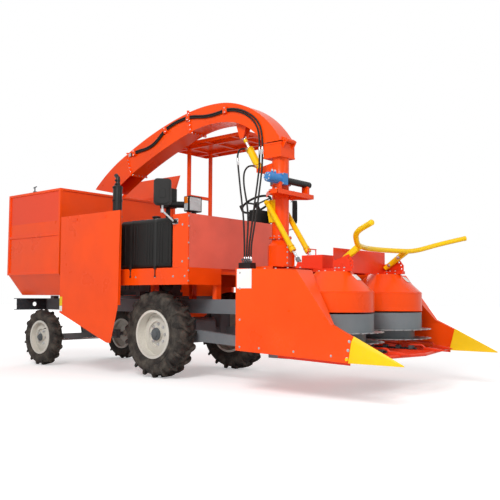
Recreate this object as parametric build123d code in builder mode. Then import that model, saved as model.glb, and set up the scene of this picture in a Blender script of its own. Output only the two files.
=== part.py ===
"""Self-propelled forage harvester with a twin-drum header, a swivelling spout and a tipping bin.

Millimetres. +X is forward, +Y is the machine's left, +Z is up. The origin is on the ground under
the middle of the machine's box. Lengths along the machine are measured from the front axle.
"""
import os
from collections import namedtuple
from math import asin, cos, degrees, radians, sin, sqrt, tan

from build123d import *

os.makedirs("parts", exist_ok=True)

# Overall reach and stock sizes
FRONT_REACH = 3270
REAR_REACH = 2780
HALF_WIDTH = 1100
SHEET = 5
PIN_CLEARANCE = 0.3
EYE_STUB = 2
MOVING_GAP = 5
FRONT_AXLE_X = (REAR_REACH - FRONT_REACH) / 2


def fwd(distance):
    """X of a place that lies this far forward of the front axle."""
    return FRONT_AXLE_X + distance


# Wheels
Wheel = namedtuple(
    "Wheel",
    "x track radius width rim_radius rim_width disc_out lugs lug_height lug_thickness lug_lean",
)
FRONT_WHEEL = Wheel(fwd(0), 647, 492.5, 280, 275, 244, 20, 18, 34, 34, 36)
REAR_WHEEL = Wheel(fwd(-2250), 698, 372.5, 165, 222, 132, 10, 16, 24, 26, 22)
CARCASS_FACETS = 36
LUG_ROOT = 12
LUG_MIDDLE_OVERLAP = 6
BEAD_DEPTH = 18
RIM_WALL = 8
FLANGE_THICKNESS = 10


def lug_reach(wheel):
    """Half of the stretch that one lug takes along the tread."""
    return wheel.lug_lean + wheel.lug_thickness / 2


def axle_height(wheel):
    """Height of the axle when the tyre stands on its lowest lug corners."""
    corner = degrees(asin(lug_reach(wheel) / wheel.radius))
    half_pitch = 180 / wheel.lugs
    return wheel.radius * cos(radians(min(corner, half_pitch - corner)))


# Chassis
RAIL_Y = 330
RAIL_WIDTH = 80
RAIL_BOTTOM = 730
RAIL_TOP = 890
RAIL_WALL = 10
REST_PADS = (-1640, -2560)
RAIL_FRONT = fwd(1180)
RAIL_REAR = fwd(-REAR_REACH + 80)
CROSS_MEMBERS = (900, -600, -1400, -2250)
CROSS_WIDTH = 90
REAR_BEAM_HALF = 840
REAR_BEAM_DEPTH = fwd(-REAR_REACH + 80) - fwd(-REAR_REACH)
AXLE_TUBE = 130
SADDLE_HALF = 80
SADDLE_Y = (290, 470)

# Rear axle and steering
KINGPIN_Y = 580
KINGPIN_DIAMETER = 40
FORK_PLATE = 16
FORK_GAP = 92
REAR_BEAM_SIZE = 70
STEER_ARM = 160
STEER_ARM_DROP = 60
TIE_ROD_DIAMETER = 24
TIE_PIN_DIAMETER = 18

# Header, seen from the side
HEADER_HALF = HALF_WIDTH - 50
HEADER_REAR = 1500
HEADER_TOP = 1194
HEADER_BOTTOM = 404
HEADER_FRONT_TOP = (2230, 1168)
TIP_LENGTH = 459
HEADER_KNEE = (FRONT_REACH - TIP_LENGTH - 211, 680)
HEADER_NOSE_TOP = (FRONT_REACH - TIP_LENGTH, 585)
HEADER_NOSE_BOTTOM = (FRONT_REACH - TIP_LENGTH - 41, 361)
DIVIDER_INNER = ((42, 640), (155, 960), (250, 1168))
HEADER_PIVOT = (1420, 420)
HEADER_PIN = 40
TIP_POINT_Z = 366
ARM_Y = (400, 470)
LUG_THICKNESS = 18
DECK_HALF = 700
DECK_FRONT = 2050
THROAT_HALF = 300
THROAT_Z = (470, 1000)

# Drums
DRUM_X = 2270
DRUM_Y = 494
DRUM_RADIUS = 380
COVER_TOP_RADIUS = 170
COVER_TOP = 1164
COVER_SHOULDER = 967
COVER_BOTTOM = 780
DRUM_TOP = 765
SAW_RADIUS = 470
SAW_THICKNESS = 6
UPPER_SAW_Z = 590
LOWER_SAW_Z = 496
SAW_TEETH = 30
SAW_TOOTH = 26
DRUM_HUB_RADIUS = 300
DRUM_SHAFT = 60
GEARBOX_RADIUS = 130
GEARBOX_TOP = 486
BEAM_FRONT = 2490
GUARD_Z = 384
GUARD_DIAMETER = 30
GUARD_POINT = 2960
GUIDE_BARS = (60, 300, 560)

# Push bar and the plate that carries it
BAR_DIAMETER = 50
BAR_POINTS = ((2970, 980, 1550), (2730, 856, 1490), (2570, 560, 1400), (2430, 160, 1400))
CARRIER_X = 2262
CARRIER_TOP = 1395

# Lift cylinders of the header
LIFT_Y = 140
LIFT_TOP = (1166, 1960)
LIFT_FOOT = (1622, 1265)
LIFT_BARREL = 60
LIFT_ROD = 32
LIFT_PIN = 26
LIFT_BARREL_LENGTH = 655

# Chopper, column and spout
COLUMN_X = 1243
COLUMN_DIAMETER = 190
COLUMN_FLANGE_Z = 1573
DUCT_WIDTH = 270
SWIVEL_Z = 2060
FAN_THICKNESS = 15
SPIGOT_HEIGHT = 60
CHOPPER_X = (950, 1360)
CHOPPER_HALF = 286
CHOPPER_Z = (460, 1250)
VALVE_X = (FRONT_AXLE_X + 965, FRONT_AXLE_X + 1130)
VALVE_Y = (-390, -292)
VALVE_Z = (1180, 1290)
VALVE_PORTS = (1000, 1031, 1061, 1092)
VALVE_PORT_Y = -330
VALVE_PORT_TOP = 1310
WORM_X = 1400
WORM_Z = 2190
WORM_RADIUS = 35
MOTOR_RADIUS = 52
MOTOR_FOOT_Y = -250
WORM_FOOT_Y = 260
RING_GEAR_RADIUS = 112
COLLAR_X = (1100, 1345)
COLLAR_Z = (2470, 2632)
SPOUT_HALF = 125
SPOUT_PIVOT = (1372, 2652)
SPOUT_PIN = 24
DEFLECTOR_PIVOT = (-1280, 2842)
TILT_FOOT = (955, 2361)
TILT_EYE = (700, 2790)
TILT_BARREL = 66
TILT_ROD = 32
TILT_PIN = 24
TILT_BARREL_LENGTH = 330
PORT_STATION = 60
PORT_REACH = 56
PORT_DIAMETER = 24

# Bin
BIN_X = (-2700, -1500)
LIP_OVERHANG = 115
BIN_HALF = HALF_WIDTH - LIP_OVERHANG
BIN_RIB = 15
BIN_TOP = 2290
BIN_KNEE_Z = 1200
BIN_FLOOR_HALF = 770
BIN_FLOOR = 934
LIP_FOLD_Z = 2430
LIP_TOP = 2740
BIN_HINGE = (800, 900)
BIN_HINGE_PIN = 36
BIN_HINGES = (-1720, -2480)
HINGE_LUG = 20
HINGE_CHEEK = 12
TIP_X = -1620
TIP_FOOT = (480, 440)
TIP_EYE = (480, 870)
TIP_BARREL = 60
TIP_ROD = 36
TIP_PIN = 28
TIP_BARREL_LENGTH = 350

# Operator's platform
PLATFORM_X = (-520, 640)
PLATFORM_HALF = 850
FLOOR_Z = 1231
SKIRT_BOTTOM = 1049
PANEL_TOP = 1822
TANK_X = (-469, 383)
TANK_Y = (-850, -470)
TANK_TOP = 1800
SEAT_Y = 570
SEAT_BASE_TOP = 1510
ROOF_X = (-800, 600)
ROOF_Y = (150, 930)
ROOF_Z = 2875
ROOF_RIM = 45
POST_X = -550
POST_Y = (340, 750)
POST_SIZE = 40
CROSSBAR_Z = 2250
ROOF_RIBS = (-560, -100, 360)

# Engine bay
SIDE_PANEL_Y = 1000
PORTAL_X = (-600, -1400)
PORTAL_SIZE = 40
PORTAL_TOP = 1850
ENGINE_X = (-1330, -620)
ENGINE_HALF = 270
ENGINE_TOP = 1600


# Helpers that add a form to the part being built
def block(xs, ys, zs, mode=Mode.ADD):
    """A rectangular block between the given X, Y and Z limits."""
    with Locations(((xs[0] + xs[1]) / 2, (ys[0] + ys[1]) / 2, (zs[0] + zs[1]) / 2)):
        Box(abs(xs[1] - xs[0]), abs(ys[1] - ys[0]), abs(zs[1] - zs[0]), mode=mode)


def side_plate(outline, ys, mode=Mode.ADD):
    """An outline in X and Z, extruded between two Y limits."""
    with BuildSketch(Plane.XZ.offset(-max(ys))) as face:
        with BuildLine():
            Polyline(*outline, close=True)
        make_face()
    extrude(face.sketch, amount=abs(ys[1] - ys[0]), mode=mode)


def cross_plate(outline, xs, mode=Mode.ADD):
    """An outline in Y and Z, extruded between two X limits."""
    with BuildSketch(Plane.YZ.offset(min(xs))) as face:
        with BuildLine():
            Polyline(*outline, close=True)
        make_face()
    extrude(face.sketch, amount=abs(xs[1] - xs[0]), mode=mode)


def rod(start, end, diameter, mode=Mode.ADD):
    """A round bar between two points."""
    axis = Vector(*end) - Vector(*start)
    with BuildSketch(Plane(start, z_dir=axis)) as face:
        Circle(diameter / 2)
    extrude(face.sketch, amount=axis.length, mode=mode)


def upright(x, y, zs, radius, mode=Mode.ADD):
    """A vertical cylinder."""
    rod((x, y, zs[0]), (x, y, zs[1]), 2 * radius, mode=mode)


def along(start, end, distance):
    """The point this far from start towards end, in the plane of the two."""
    run = sqrt((end[0] - start[0]) ** 2 + (end[1] - start[1]) ** 2)
    return tuple(a + (b - a) * distance / run for a, b in zip(start, end))


def mirrored(ys, side):
    """Y limits given for the left side, on the chosen side."""
    return tuple(sorted(side * y for y in ys))


def save(part, name):
    part.label = name
    export_step(part, f"parts/{name}.step")


# Wheels
def tyre_lug(wheel, row, lean):
    """One lug of a tread row, standing out along local X, its inner end leading by lean."""
    tip = sqrt(wheel.radius ** 2 - lug_reach(wheel) ** 2)
    root = wheel.radius - wheel.lug_height - LUG_ROOT
    half = wheel.lug_thickness / 2
    inner = -LUG_MIDDLE_OVERLAP * row
    outer = wheel.width / 2 * row
    with BuildPart() as lug:
        with BuildSketch(Plane.YZ.offset(root)):
            with BuildLine():
                Polyline(
                    (lean - half, inner),
                    (lean + half, inner),
                    (-lean + half, outer),
                    (-lean - half, outer),
                    close=True,
                )
            make_face()
        extrude(amount=tip - root)
    return lug.part


def make_tyre(wheel, side, name):
    hub = Plane((wheel.x, side * wheel.track, axle_height(wheel)), x_dir=(1, 0, 0), z_dir=(0, side, 0))
    carcass = wheel.radius - wheel.lug_height
    widest = wheel.rim_radius + 0.55 * (carcass - wheel.rim_radius)
    half = wheel.width / 2
    bead = wheel.rim_width / 2 - FLANGE_THICKNESS
    sections = ((-half, widest), (-0.72 * half, carcass), (0.72 * half, carcass), (half, widest))
    with BuildPart(hub) as tyre:
        for axial, radius in sections:
            with BuildSketch(hub.offset(axial)):
                RegularPolygon(radius, CARCASS_FACETS)
        loft(ruled=True)
        for face in (-1, 1):
            for axial, radius in ((half, widest - 10), (bead, wheel.rim_radius + 1)):
                with BuildSketch(hub.offset(face * axial)):
                    RegularPolygon(radius, CARCASS_FACETS, major_radius=False)
            loft(ruled=True, mode=Mode.SUBTRACT)
        Cylinder(wheel.rim_radius - BEAD_DEPTH, wheel.width, mode=Mode.SUBTRACT)
        pitch = 360 / wheel.lugs
        for row in (-1, 1):
            start = -90 * side + (pitch / 2 if row > 0 else 0)
            with PolarLocations(0, wheel.lugs, start_angle=start):
                add(tyre_lug(wheel, row, side * wheel.lug_lean))
    save(tyre.part, name)


def make_rim(wheel, side, hub_radius, name):
    hub = Plane((wheel.x, side * wheel.track, axle_height(wheel)), x_dir=(1, 0, 0), z_dir=(0, side, 0))
    half = wheel.rim_width / 2
    seat = wheel.rim_radius - BEAD_DEPTH
    barrel = seat - RIM_WALL
    disc = wheel.disc_out
    dish = 0.62 * barrel
    profile = (
        (seat, -half + FLANGE_THICKNESS),
        (wheel.rim_radius, -half + FLANGE_THICKNESS),
        (wheel.rim_radius, -half),
        (barrel, -half),
        (barrel, disc - 25),
        (dish, disc + 12),
        (dish, disc - 8),
        (hub_radius, disc - 8),
        (hub_radius, disc + 2),
        (dish - 10, disc + 2),
        (dish - 10, disc + 24),
        (barrel, disc - 10),
        (barrel, half),
        (wheel.rim_radius, half),
        (wheel.rim_radius, half - FLANGE_THICKNESS),
        (seat, half - FLANGE_THICKNESS),
    )
    section = Plane(hub.origin, x_dir=(1, 0, 0), z_dir=(0, 0, side))
    with BuildPart() as rim:
        with BuildSketch(section):
            with BuildLine():
                Polyline(*((radius, axial) for radius, axial in profile), close=True)
            make_face()
        revolve(axis=Axis(hub.origin, (0, 1, 0)))
        with BuildSketch(hub.offset(disc - 8)) as hub_face:
            Circle(hub_radius)
        extrude(hub_face.sketch, amount=45)
        extrude(hub_face.sketch, amount=-50)
        with BuildSketch(hub.offset(disc - 58)) as bore:
            Circle(SPINDLE[wheel] / 2 + PIN_CLEARANCE)
        extrude(bore.sketch, amount=70, mode=Mode.SUBTRACT)
    save(rim.part, name)


SPINDLE = {FRONT_WHEEL: 90, REAR_WHEEL: 50}
HUB_RADIUS = {FRONT_WHEEL: 75, REAR_WHEEL: 50}
for wheel, end in ((FRONT_WHEEL, "front"), (REAR_WHEEL, "rear")):
    for side, hand in ((-1, "right"), (1, "left")):
        make_tyre(wheel, side, f"tyre_{end}_{hand}")
        make_rim(wheel, side, HUB_RADIUS[wheel], f"rim_{end}_{hand}")

# Chassis frame: two rails with cross members, and the arms and lugs welded to them
rear_z = axle_height(REAR_WHEEL)
front_z = axle_height(FRONT_WHEEL)
rail_in = RAIL_Y - RAIL_WIDTH / 2
rail_out = RAIL_Y + RAIL_WIDTH / 2
with BuildPart() as chassis_frame:
    for side in (-1, 1):
        rail_x = (RAIL_REAR, RAIL_FRONT)
        block(rail_x, mirrored((rail_in, rail_out), side), (RAIL_BOTTOM, RAIL_TOP))
        block(
            rail_x,
            mirrored((rail_in, rail_out - RAIL_WALL), side),
            (RAIL_BOTTOM + RAIL_WALL, RAIL_TOP - RAIL_WALL),
            mode=Mode.SUBTRACT,
        )
        for place in REST_PADS:
            block(
                (fwd(place) - 40, fwd(place) + 40),
                mirrored((rail_in, rail_out), side),
                (RAIL_TOP, BIN_FLOOR - MOVING_GAP),
            )
    for place in CROSS_MEMBERS:
        middle = fwd(place)
        block(
            (middle - CROSS_WIDTH / 2, middle + CROSS_WIDTH / 2),
            (-rail_out + RAIL_WALL, rail_out - RAIL_WALL),
            (RAIL_BOTTOM, RAIL_BOTTOM + CROSS_WIDTH),
        )
    for reach in (-REAR_BEAM_SIZE / 2, REAR_BEAM_SIZE / 2 - 20):
        rear_bracket = fwd(-2250) + reach
        cross_plate(
            (
                (-130, RAIL_BOTTOM),
                (130, RAIL_BOTTOM),
                (60, rear_z + REAR_BEAM_SIZE / 2),
                (-60, rear_z + REAR_BEAM_SIZE / 2),
            ),
            (rear_bracket, rear_bracket + 20),
        )
    for place in BIN_HINGES:
        cheek = HINGE_LUG / 2 + MOVING_GAP
        for shift in (-cheek - HINGE_CHEEK, cheek):
            cross_plate(
                (
                    (rail_out, RAIL_BOTTOM + 30),
                    (rail_out, RAIL_TOP),
                    (BIN_HINGE[0] - 30, BIN_HINGE[1] + 20),
                    (BIN_HINGE[0] + 24, BIN_HINGE[1] + 20),
                    (BIN_HINGE[0] + 30, BIN_HINGE[1] - 24),
                ),
                (fwd(place) + shift, fwd(place) + shift + HINGE_CHEEK),
            )
        pin_end = cheek + HINGE_CHEEK + 7
        rod(
            (fwd(place) - pin_end, *BIN_HINGE),
            (fwd(place) + pin_end, *BIN_HINGE),
            BIN_HINGE_PIN,
        )
    for shift in (-52, 40):
        cross_plate(
            (
                (rail_in, RAIL_BOTTOM),
                (rail_out, RAIL_BOTTOM),
                (TIP_FOOT[0] + 40, TIP_FOOT[1] + 40),
                (TIP_FOOT[0] + 40, TIP_FOOT[1] - 30),
                (TIP_FOOT[0] - 40, TIP_FOOT[1] - 30),
            ),
            (fwd(TIP_X) + shift, fwd(TIP_X) + shift + 12),
        )
    rod((fwd(TIP_X) - 52, *TIP_FOOT), (fwd(TIP_X) + 52, *TIP_FOOT), TIP_PIN)
save(chassis_frame.part, "chassis_frame")

with BuildPart() as rear_beam:
    block(
        (fwd(-REAR_REACH), fwd(-REAR_REACH) + REAR_BEAM_DEPTH),
        (-REAR_BEAM_HALF, REAR_BEAM_HALF),
        (RAIL_BOTTOM, RAIL_TOP),
    )
    block(
        (fwd(-REAR_REACH), fwd(-REAR_REACH) + REAR_BEAM_DEPTH - 8),
        (-REAR_BEAM_HALF, REAR_BEAM_HALF),
        (RAIL_BOTTOM + 10, RAIL_TOP - 10),
        mode=Mode.SUBTRACT,
    )
    for y in (-560, 560):
        rod((fwd(-REAR_REACH), y, 810), (RAIL_REAR, y, 810), 60, mode=Mode.SUBTRACT)
save(rear_beam.part, "rear_beam")

with BuildPart() as front_axle:
    spindle_end = FRONT_WHEEL.track + FRONT_WHEEL.disc_out
    rod((fwd(0), -SADDLE_Y[1], front_z), (fwd(0), SADDLE_Y[1], front_z), AXLE_TUBE)
    for side in (-1, 1):
        rod((fwd(0), 0, front_z), (fwd(0), side * spindle_end, front_z), SPINDLE[FRONT_WHEEL])
        block(
            (fwd(-SADDLE_HALF), fwd(SADDLE_HALF)),
            mirrored(SADDLE_Y, side),
            (front_z - SADDLE_HALF, RAIL_BOTTOM),
        )
    with BuildSketch(Plane.XZ.offset(-170)) as gearbox:
        with Locations((fwd(-40), front_z + 30)):
            RectangleRounded(300, 300, 60)
    extrude(gearbox.sketch, amount=340)
save(front_axle.part, "front_axle")

with BuildPart() as rear_axle:
    beam_end = KINGPIN_Y - 45
    half = REAR_BEAM_SIZE / 2
    rear_x = fwd(-2250)
    block((rear_x - half, rear_x + half), (-beam_end, beam_end), (rear_z - half, rear_z + half))
    for side in (-1, 1):
        block(
            (rear_x - half, rear_x + half),
            mirrored((beam_end - 30, beam_end), side),
            (rear_z - FORK_GAP / 2 - FORK_PLATE, rear_z + FORK_GAP / 2 + FORK_PLATE),
        )
        fork_ys = mirrored((beam_end, KINGPIN_Y), side)
        for lower in (rear_z - FORK_GAP / 2 - FORK_PLATE, rear_z + FORK_GAP / 2):
            fork_zs = (lower, lower + FORK_PLATE)
            block((rear_x - 30, rear_x + 30), fork_ys, fork_zs)
            upright(rear_x, side * KINGPIN_Y, fork_zs, 30)
        upright(
            rear_x,
            side * KINGPIN_Y,
            (rear_z - FORK_GAP / 2 - FORK_PLATE, rear_z + FORK_GAP / 2 + FORK_PLATE),
            KINGPIN_DIAMETER / 2,
        )
save(rear_axle.part, "rear_axle")

tie_z = rear_z - STEER_ARM_DROP
for side, hand in ((-1, "right"), (1, "left")):
    with BuildPart() as knuckle:
        king_y = side * KINGPIN_Y
        upright(rear_x, king_y, (rear_z - FORK_GAP / 2 + 1, rear_z + FORK_GAP / 2 - 1), 32)
        spindle_tip = side * (REAR_WHEEL.track + REAR_WHEEL.disc_out)
        rod((rear_x, king_y, rear_z), (rear_x, spindle_tip, rear_z), SPINDLE[REAR_WHEEL])
        block(
            (rear_x - STEER_ARM - 18, rear_x - 24),
            (king_y - 16, king_y + 16),
            (rear_z - 40, rear_z - 24),
        )
        rod(
            (rear_x - STEER_ARM, king_y, tie_z - 18),
            (rear_x - STEER_ARM, king_y, rear_z - 40),
            TIE_PIN_DIAMETER,
        )
        upright(
            rear_x,
            king_y,
            (rear_z - FORK_GAP, rear_z + FORK_GAP),
            KINGPIN_DIAMETER / 2 + PIN_CLEARANCE,
            mode=Mode.SUBTRACT,
        )
    save(knuckle.part, f"knuckle_{hand}")

with BuildPart() as tie_rod:
    tie_x = rear_x - STEER_ARM
    rod((tie_x, -KINGPIN_Y, tie_z), (tie_x, KINGPIN_Y, tie_z), TIE_ROD_DIAMETER)
    for side in (-1, 1):
        upright(tie_x, side * KINGPIN_Y, (tie_z - 15, tie_z + 15), 20)
        upright(
            tie_x,
            side * KINGPIN_Y,
            (tie_z - 40, tie_z + 40),
            TIE_PIN_DIAMETER / 2 + PIN_CLEARANCE,
            mode=Mode.SUBTRACT,
        )
save(tie_rod.part, "tie_rod")

# Arms that carry the header, on the front axle's saddles
with BuildPart() as header_arms:
    for side in (-1, 1):
        arm_ys = mirrored(ARM_Y, side)
        px, pz = fwd(HEADER_PIVOT[0]), HEADER_PIVOT[1]
        side_plate(
            (
                (fwd(SADDLE_HALF), front_z - 60),
                (fwd(SADDLE_HALF), front_z + 60),
                (fwd(480), front_z + 50),
                (px, pz + 45),
                (px, pz - 45),
            ),
            arm_ys,
        )
        rod((px, arm_ys[0], pz), (px, arm_ys[1], pz), 90)
        pin_out = MOVING_GAP + LUG_THICKNESS + 5
        rod((px, arm_ys[0] - pin_out, pz), (px, arm_ys[1] + pin_out, pz), HEADER_PIN)
save(header_arms.part, "header_arms")

# Engine, its portal frames and the side panels
with BuildPart() as engine_block:
    block((fwd(ENGINE_X[0]), fwd(ENGINE_X[1])), (-ENGINE_HALF, ENGINE_HALF), (RAIL_TOP + 50, ENGINE_TOP))
    chamfer(engine_block.edges().filter_by(Axis.X), 40)
    for place in (ENGINE_X[0] + 60, ENGINE_X[1] - 140):
        for side in (-1, 1):
            block(
                (fwd(place), fwd(place) + 80),
                mirrored((ENGINE_HALF - 60, rail_out), side),
                (RAIL_TOP, RAIL_TOP + 90),
            )
save(engine_block.part, "engine_block")

with BuildPart() as engine_frame:
    panel_in = SIDE_PANEL_Y - SHEET
    for place in PORTAL_X:
        xs = (fwd(place) - PORTAL_SIZE / 2, fwd(place) + PORTAL_SIZE / 2)
        block(xs, (-panel_in, panel_in), (RAIL_TOP, RAIL_TOP + PORTAL_SIZE))
        for side in (-1, 1):
            block(xs, mirrored((panel_in - PORTAL_SIZE, panel_in), side), (RAIL_TOP, PORTAL_TOP))
    for side in (-1, 1):
        block(
            (fwd(PORTAL_X[1]), fwd(PORTAL_X[0])),
            mirrored((panel_in - PORTAL_SIZE, panel_in), side),
            (PORTAL_TOP - PORTAL_SIZE, PORTAL_TOP),
        )
save(engine_frame.part, "engine_frame")

PANEL_OUTLINE = ((-1465, 1913), (-315, 1913), (-333, 800), (-455, 386), (-530, 386), (-1465, 717))
with BuildPart() as side_panels:
    for side in (-1, 1):
        side_plate(
            [(fwd(x), z) for x, z in PANEL_OUTLINE],
            mirrored((SIDE_PANEL_Y - SHEET, SIDE_PANEL_Y), side),
        )
        block(
            (fwd(-333) - SHEET, fwd(-333)),
            mirrored((SIDE_PANEL_Y - 40, SIDE_PANEL_Y - SHEET), side),
            (820, 1913),
        )
save(side_panels.part, "side_panels")

with BuildPart() as exhaust:
    ex, ey = fwd(-800), -650
    upright(ex, ey, (1500, 2290), 58)
    fillet(exhaust.edges().filter_by(GeomType.CIRCLE), 20)
    upright(ex, ey, (2290, 2400), 26)
    rod((ex, ey, 2385), (ex - 40, ey, 2425), 50)
    rod((ex, -ENGINE_HALF, 1540), (ex, ey, 1540), 50)
save(exhaust.part, "exhaust")

with BuildPart() as air_cleaner:
    block((fwd(-440), fwd(-290)), (-290, -110), (2020, 2260))
    fillet(air_cleaner.edges().filter_by(Axis.Z), 30)
    block((fwd(-390), fwd(-350)), (-220, -180), (FLOOR_Z + SHEET, 2020))
    rod((fwd(-300), -200, 2060), (fwd(-20), -200, 2030), 80)
save(air_cleaner.part, "air_cleaner")

# Operator's platform
with BuildPart() as platform:
    half = PLATFORM_HALF
    x0, x1 = fwd(PLATFORM_X[0]), fwd(PLATFORM_X[1])
    block((x0, x1), (-half, half), (FLOOR_Z, FLOOR_Z + SHEET))
    for side in (-1, 1):
        block((x0, x1), mirrored((half - SHEET, half), side), (SKIRT_BOTTOM, FLOOR_Z))
        block((x1 - SHEET, x1), mirrored((310, half), side), (SKIRT_BOTTOM, FLOOR_Z))
    for place in (-480, 560):
        block(
            (fwd(place), fwd(place) + 60),
            (-half + SHEET, half - SHEET),
            (FLOOR_Z - 60, FLOOR_Z),
        )
        for side in (-1, 1):
            block((fwd(place), fwd(place) + 60), mirrored((rail_in, rail_out), side), (RAIL_TOP, FLOOR_Z - 60))
    block((fwd(-230), fwd(70)), (SEAT_Y - 140, SEAT_Y + 140), (FLOOR_Z + SHEET, SEAT_BASE_TOP))
save(platform.part, "platform")

with BuildPart() as front_panel:
    top = FLOOR_Z + SHEET
    block((x1 - SHEET, x1), (-half, half), (top, PANEL_TOP))
    for side in (-1, 1):
        block((fwd(TANK_X[1] + 25), x1), mirrored((half - SHEET, half), side), (top, PANEL_TOP))
    block((x1 - 40, x1), (-half, half), (PANEL_TOP - SHEET, PANEL_TOP))
save(front_panel.part, "front_panel")

with BuildPart() as fuel_tank:
    block((fwd(TANK_X[0]), fwd(TANK_X[1])), TANK_Y, (FLOOR_Z + SHEET, TANK_TOP))
    fillet(fuel_tank.edges().filter_by(Axis.X), 50)
    upright(fwd(-300) + 230, -660, (TANK_TOP, TANK_TOP + 30), 40)
save(fuel_tank.part, "fuel_tank")

with BuildPart() as seat:
    with BuildSketch(Plane.XZ.offset(-(SEAT_Y + 220))) as seat_side:
        with BuildLine():
            Polyline(
                (fwd(-300), 1510), (fwd(150), 1510), (fwd(165), 1600), (fwd(-190), 1580),
                (fwd(-260), 1870), (fwd(-340), 1870), close=True,
            )
        make_face()
    extrude(seat_side.sketch, amount=440)
    fillet(seat.edges().filter_by(Axis.Y), 22)
save(seat.part, "seat")

WHEEL_BOSS = 34
WHEEL_TILT = Plane((fwd(405), SEAT_Y + 20, 2085), z_dir=(-0.47, 0, 0.88))
with BuildPart() as console:
    cross_plate(
        (
            (SEAT_Y - 170, FLOOR_Z + SHEET),
            (SEAT_Y + 190, FLOOR_Z + SHEET),
            (SEAT_Y + 150, 2000),
            (SEAT_Y - 110, 2000),
        ),
        (fwd(400), fwd(520)),
    )
    column_foot = WHEEL_TILT.offset(-150).origin
    column_head = WHEEL_TILT.offset(-WHEEL_BOSS / 2).origin
    rod(tuple(column_foot), tuple(column_head), 50)
save(console.part, "console")

with BuildPart() as steering_wheel:
    with Locations(WHEEL_TILT):
        Cylinder(36, WHEEL_BOSS)
        with PolarLocations(100, 3, start_angle=30):
            Box(180, 22, 12)
        Torus(195, 14)
        with Locations((-140, -136, 26)):
            Cylinder(17, 50)
save(steering_wheel.part, "steering_wheel")

with BuildPart() as canopy:
    for y in POST_Y:
        block(
            (fwd(POST_X) - POST_SIZE / 2, fwd(POST_X) + POST_SIZE / 2),
            (y - POST_SIZE / 2, y + POST_SIZE / 2),
            (FLOOR_Z + SHEET, ROOF_Z + ROOF_RIM - SHEET),
        )
    block(
        (fwd(POST_X) - 15, fwd(POST_X) + 15),
        (POST_Y[0], POST_Y[1]),
        (CROSSBAR_Z - 20, CROSSBAR_Z + 20),
    )
    block(
        (fwd(POST_X) - POST_SIZE / 2, fwd(PLATFORM_X[0]) + 60),
        (POST_Y[0] - POST_SIZE / 2, POST_Y[1] + POST_SIZE / 2),
        (FLOOR_Z + SHEET, FLOOR_Z + SHEET + 12),
    )
    xs = (fwd(ROOF_X[0]), fwd(ROOF_X[1]))
    roof_under = ROOF_Z + ROOF_RIM - SHEET
    block(xs, ROOF_Y, (roof_under, ROOF_Z + ROOF_RIM))
    for x in (xs[0], xs[1] - SHEET):
        block((x, x + SHEET), ROOF_Y, (ROOF_Z, roof_under))
    for y in (ROOF_Y[0], ROOF_Y[1] - SHEET):
        block(xs, (y, y + SHEET), (ROOF_Z, roof_under))
    for y in POST_Y:
        block(xs, (y - POST_SIZE / 2, y + POST_SIZE / 2), (ROOF_Z, roof_under))
    for place in ROOF_RIBS:
        block((fwd(place) - 20, fwd(place) + 20), ROOF_Y, (ROOF_Z + 10, roof_under))
save(canopy.part, "canopy")

with BuildPart() as ladder:
    for place in (60, 420):
        block((fwd(place), fwd(place) + 40), (PLATFORM_HALF, PLATFORM_HALF + 40), (420, SKIRT_BOTTOM + 150))
    for height in (430, 680, 930):
        block((fwd(60), fwd(460)), (PLATFORM_HALF, PLATFORM_HALF + 130), (height, height + 30))
save(ladder.part, "ladder")

# Mirrors and lamps: foot, head centre, turn of the head about Z
MIRROR_WIDTH = 190
MIRROR_HEIGHT = 290
MIRROR_DEPTH = 60
mirror_turn = radians(45)
mirror_half_y = (MIRROR_WIDTH * cos(mirror_turn) + MIRROR_DEPTH * sin(mirror_turn)) / 2
MIRRORS = (
    ((450, -PLATFORM_HALF, 1740), (410, -HALF_WIDTH + mirror_half_y, 2050), 1),
    ((600, PLATFORM_HALF, 1740), (700, HALF_WIDTH - mirror_half_y - 30, 2000), -1),
)
with BuildPart() as mirrors:
    for foot, head, turn in MIRRORS:
        side = 1 if foot[1] > 0 else -1
        hx, hy, hz = fwd(head[0]), head[1], head[2]
        knee = (hx, hy, hz - MIRROR_HEIGHT / 2 - 60)
        rod((fwd(foot[0]), foot[1], foot[2]), (fwd(foot[0]), foot[1] + side * 40, foot[2]), 50)
        rod((fwd(foot[0]), foot[1] + side * 30, foot[2]), knee, 22)
        rod(knee, (hx, hy, hz - MIRROR_HEIGHT / 2 + 40), 22)
        across = (cos(mirror_turn), turn * sin(mirror_turn), 0)
        ahead = (-turn * sin(mirror_turn), cos(mirror_turn), 0)
        face = Plane((hx, hy, hz), x_dir=across, z_dir=ahead)
        with BuildSketch(face.offset(-MIRROR_DEPTH / 2)) as head_face:
            RectangleRounded(MIRROR_WIDTH, MIRROR_HEIGHT, 40)
        extrude(head_face.sketch, amount=MIRROR_DEPTH)
save(mirrors.part, "mirrors")

with BuildPart() as headlamps:
    for side in (-1, 1):
        lamp_y = side * (PLATFORM_HALF - 110)
        with BuildSketch(Plane.YZ.offset(fwd(565))) as housing:
            with Locations((lamp_y, PANEL_TOP + 105)):
                RectangleRounded(200, 170, 18)
        extrude(housing.sketch, amount=70)
        block((fwd(605), fwd(630)), (lamp_y - 20, lamp_y + 20), (PANEL_TOP, PANEL_TOP + 20))
save(headlamps.part, "headlamps")

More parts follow.
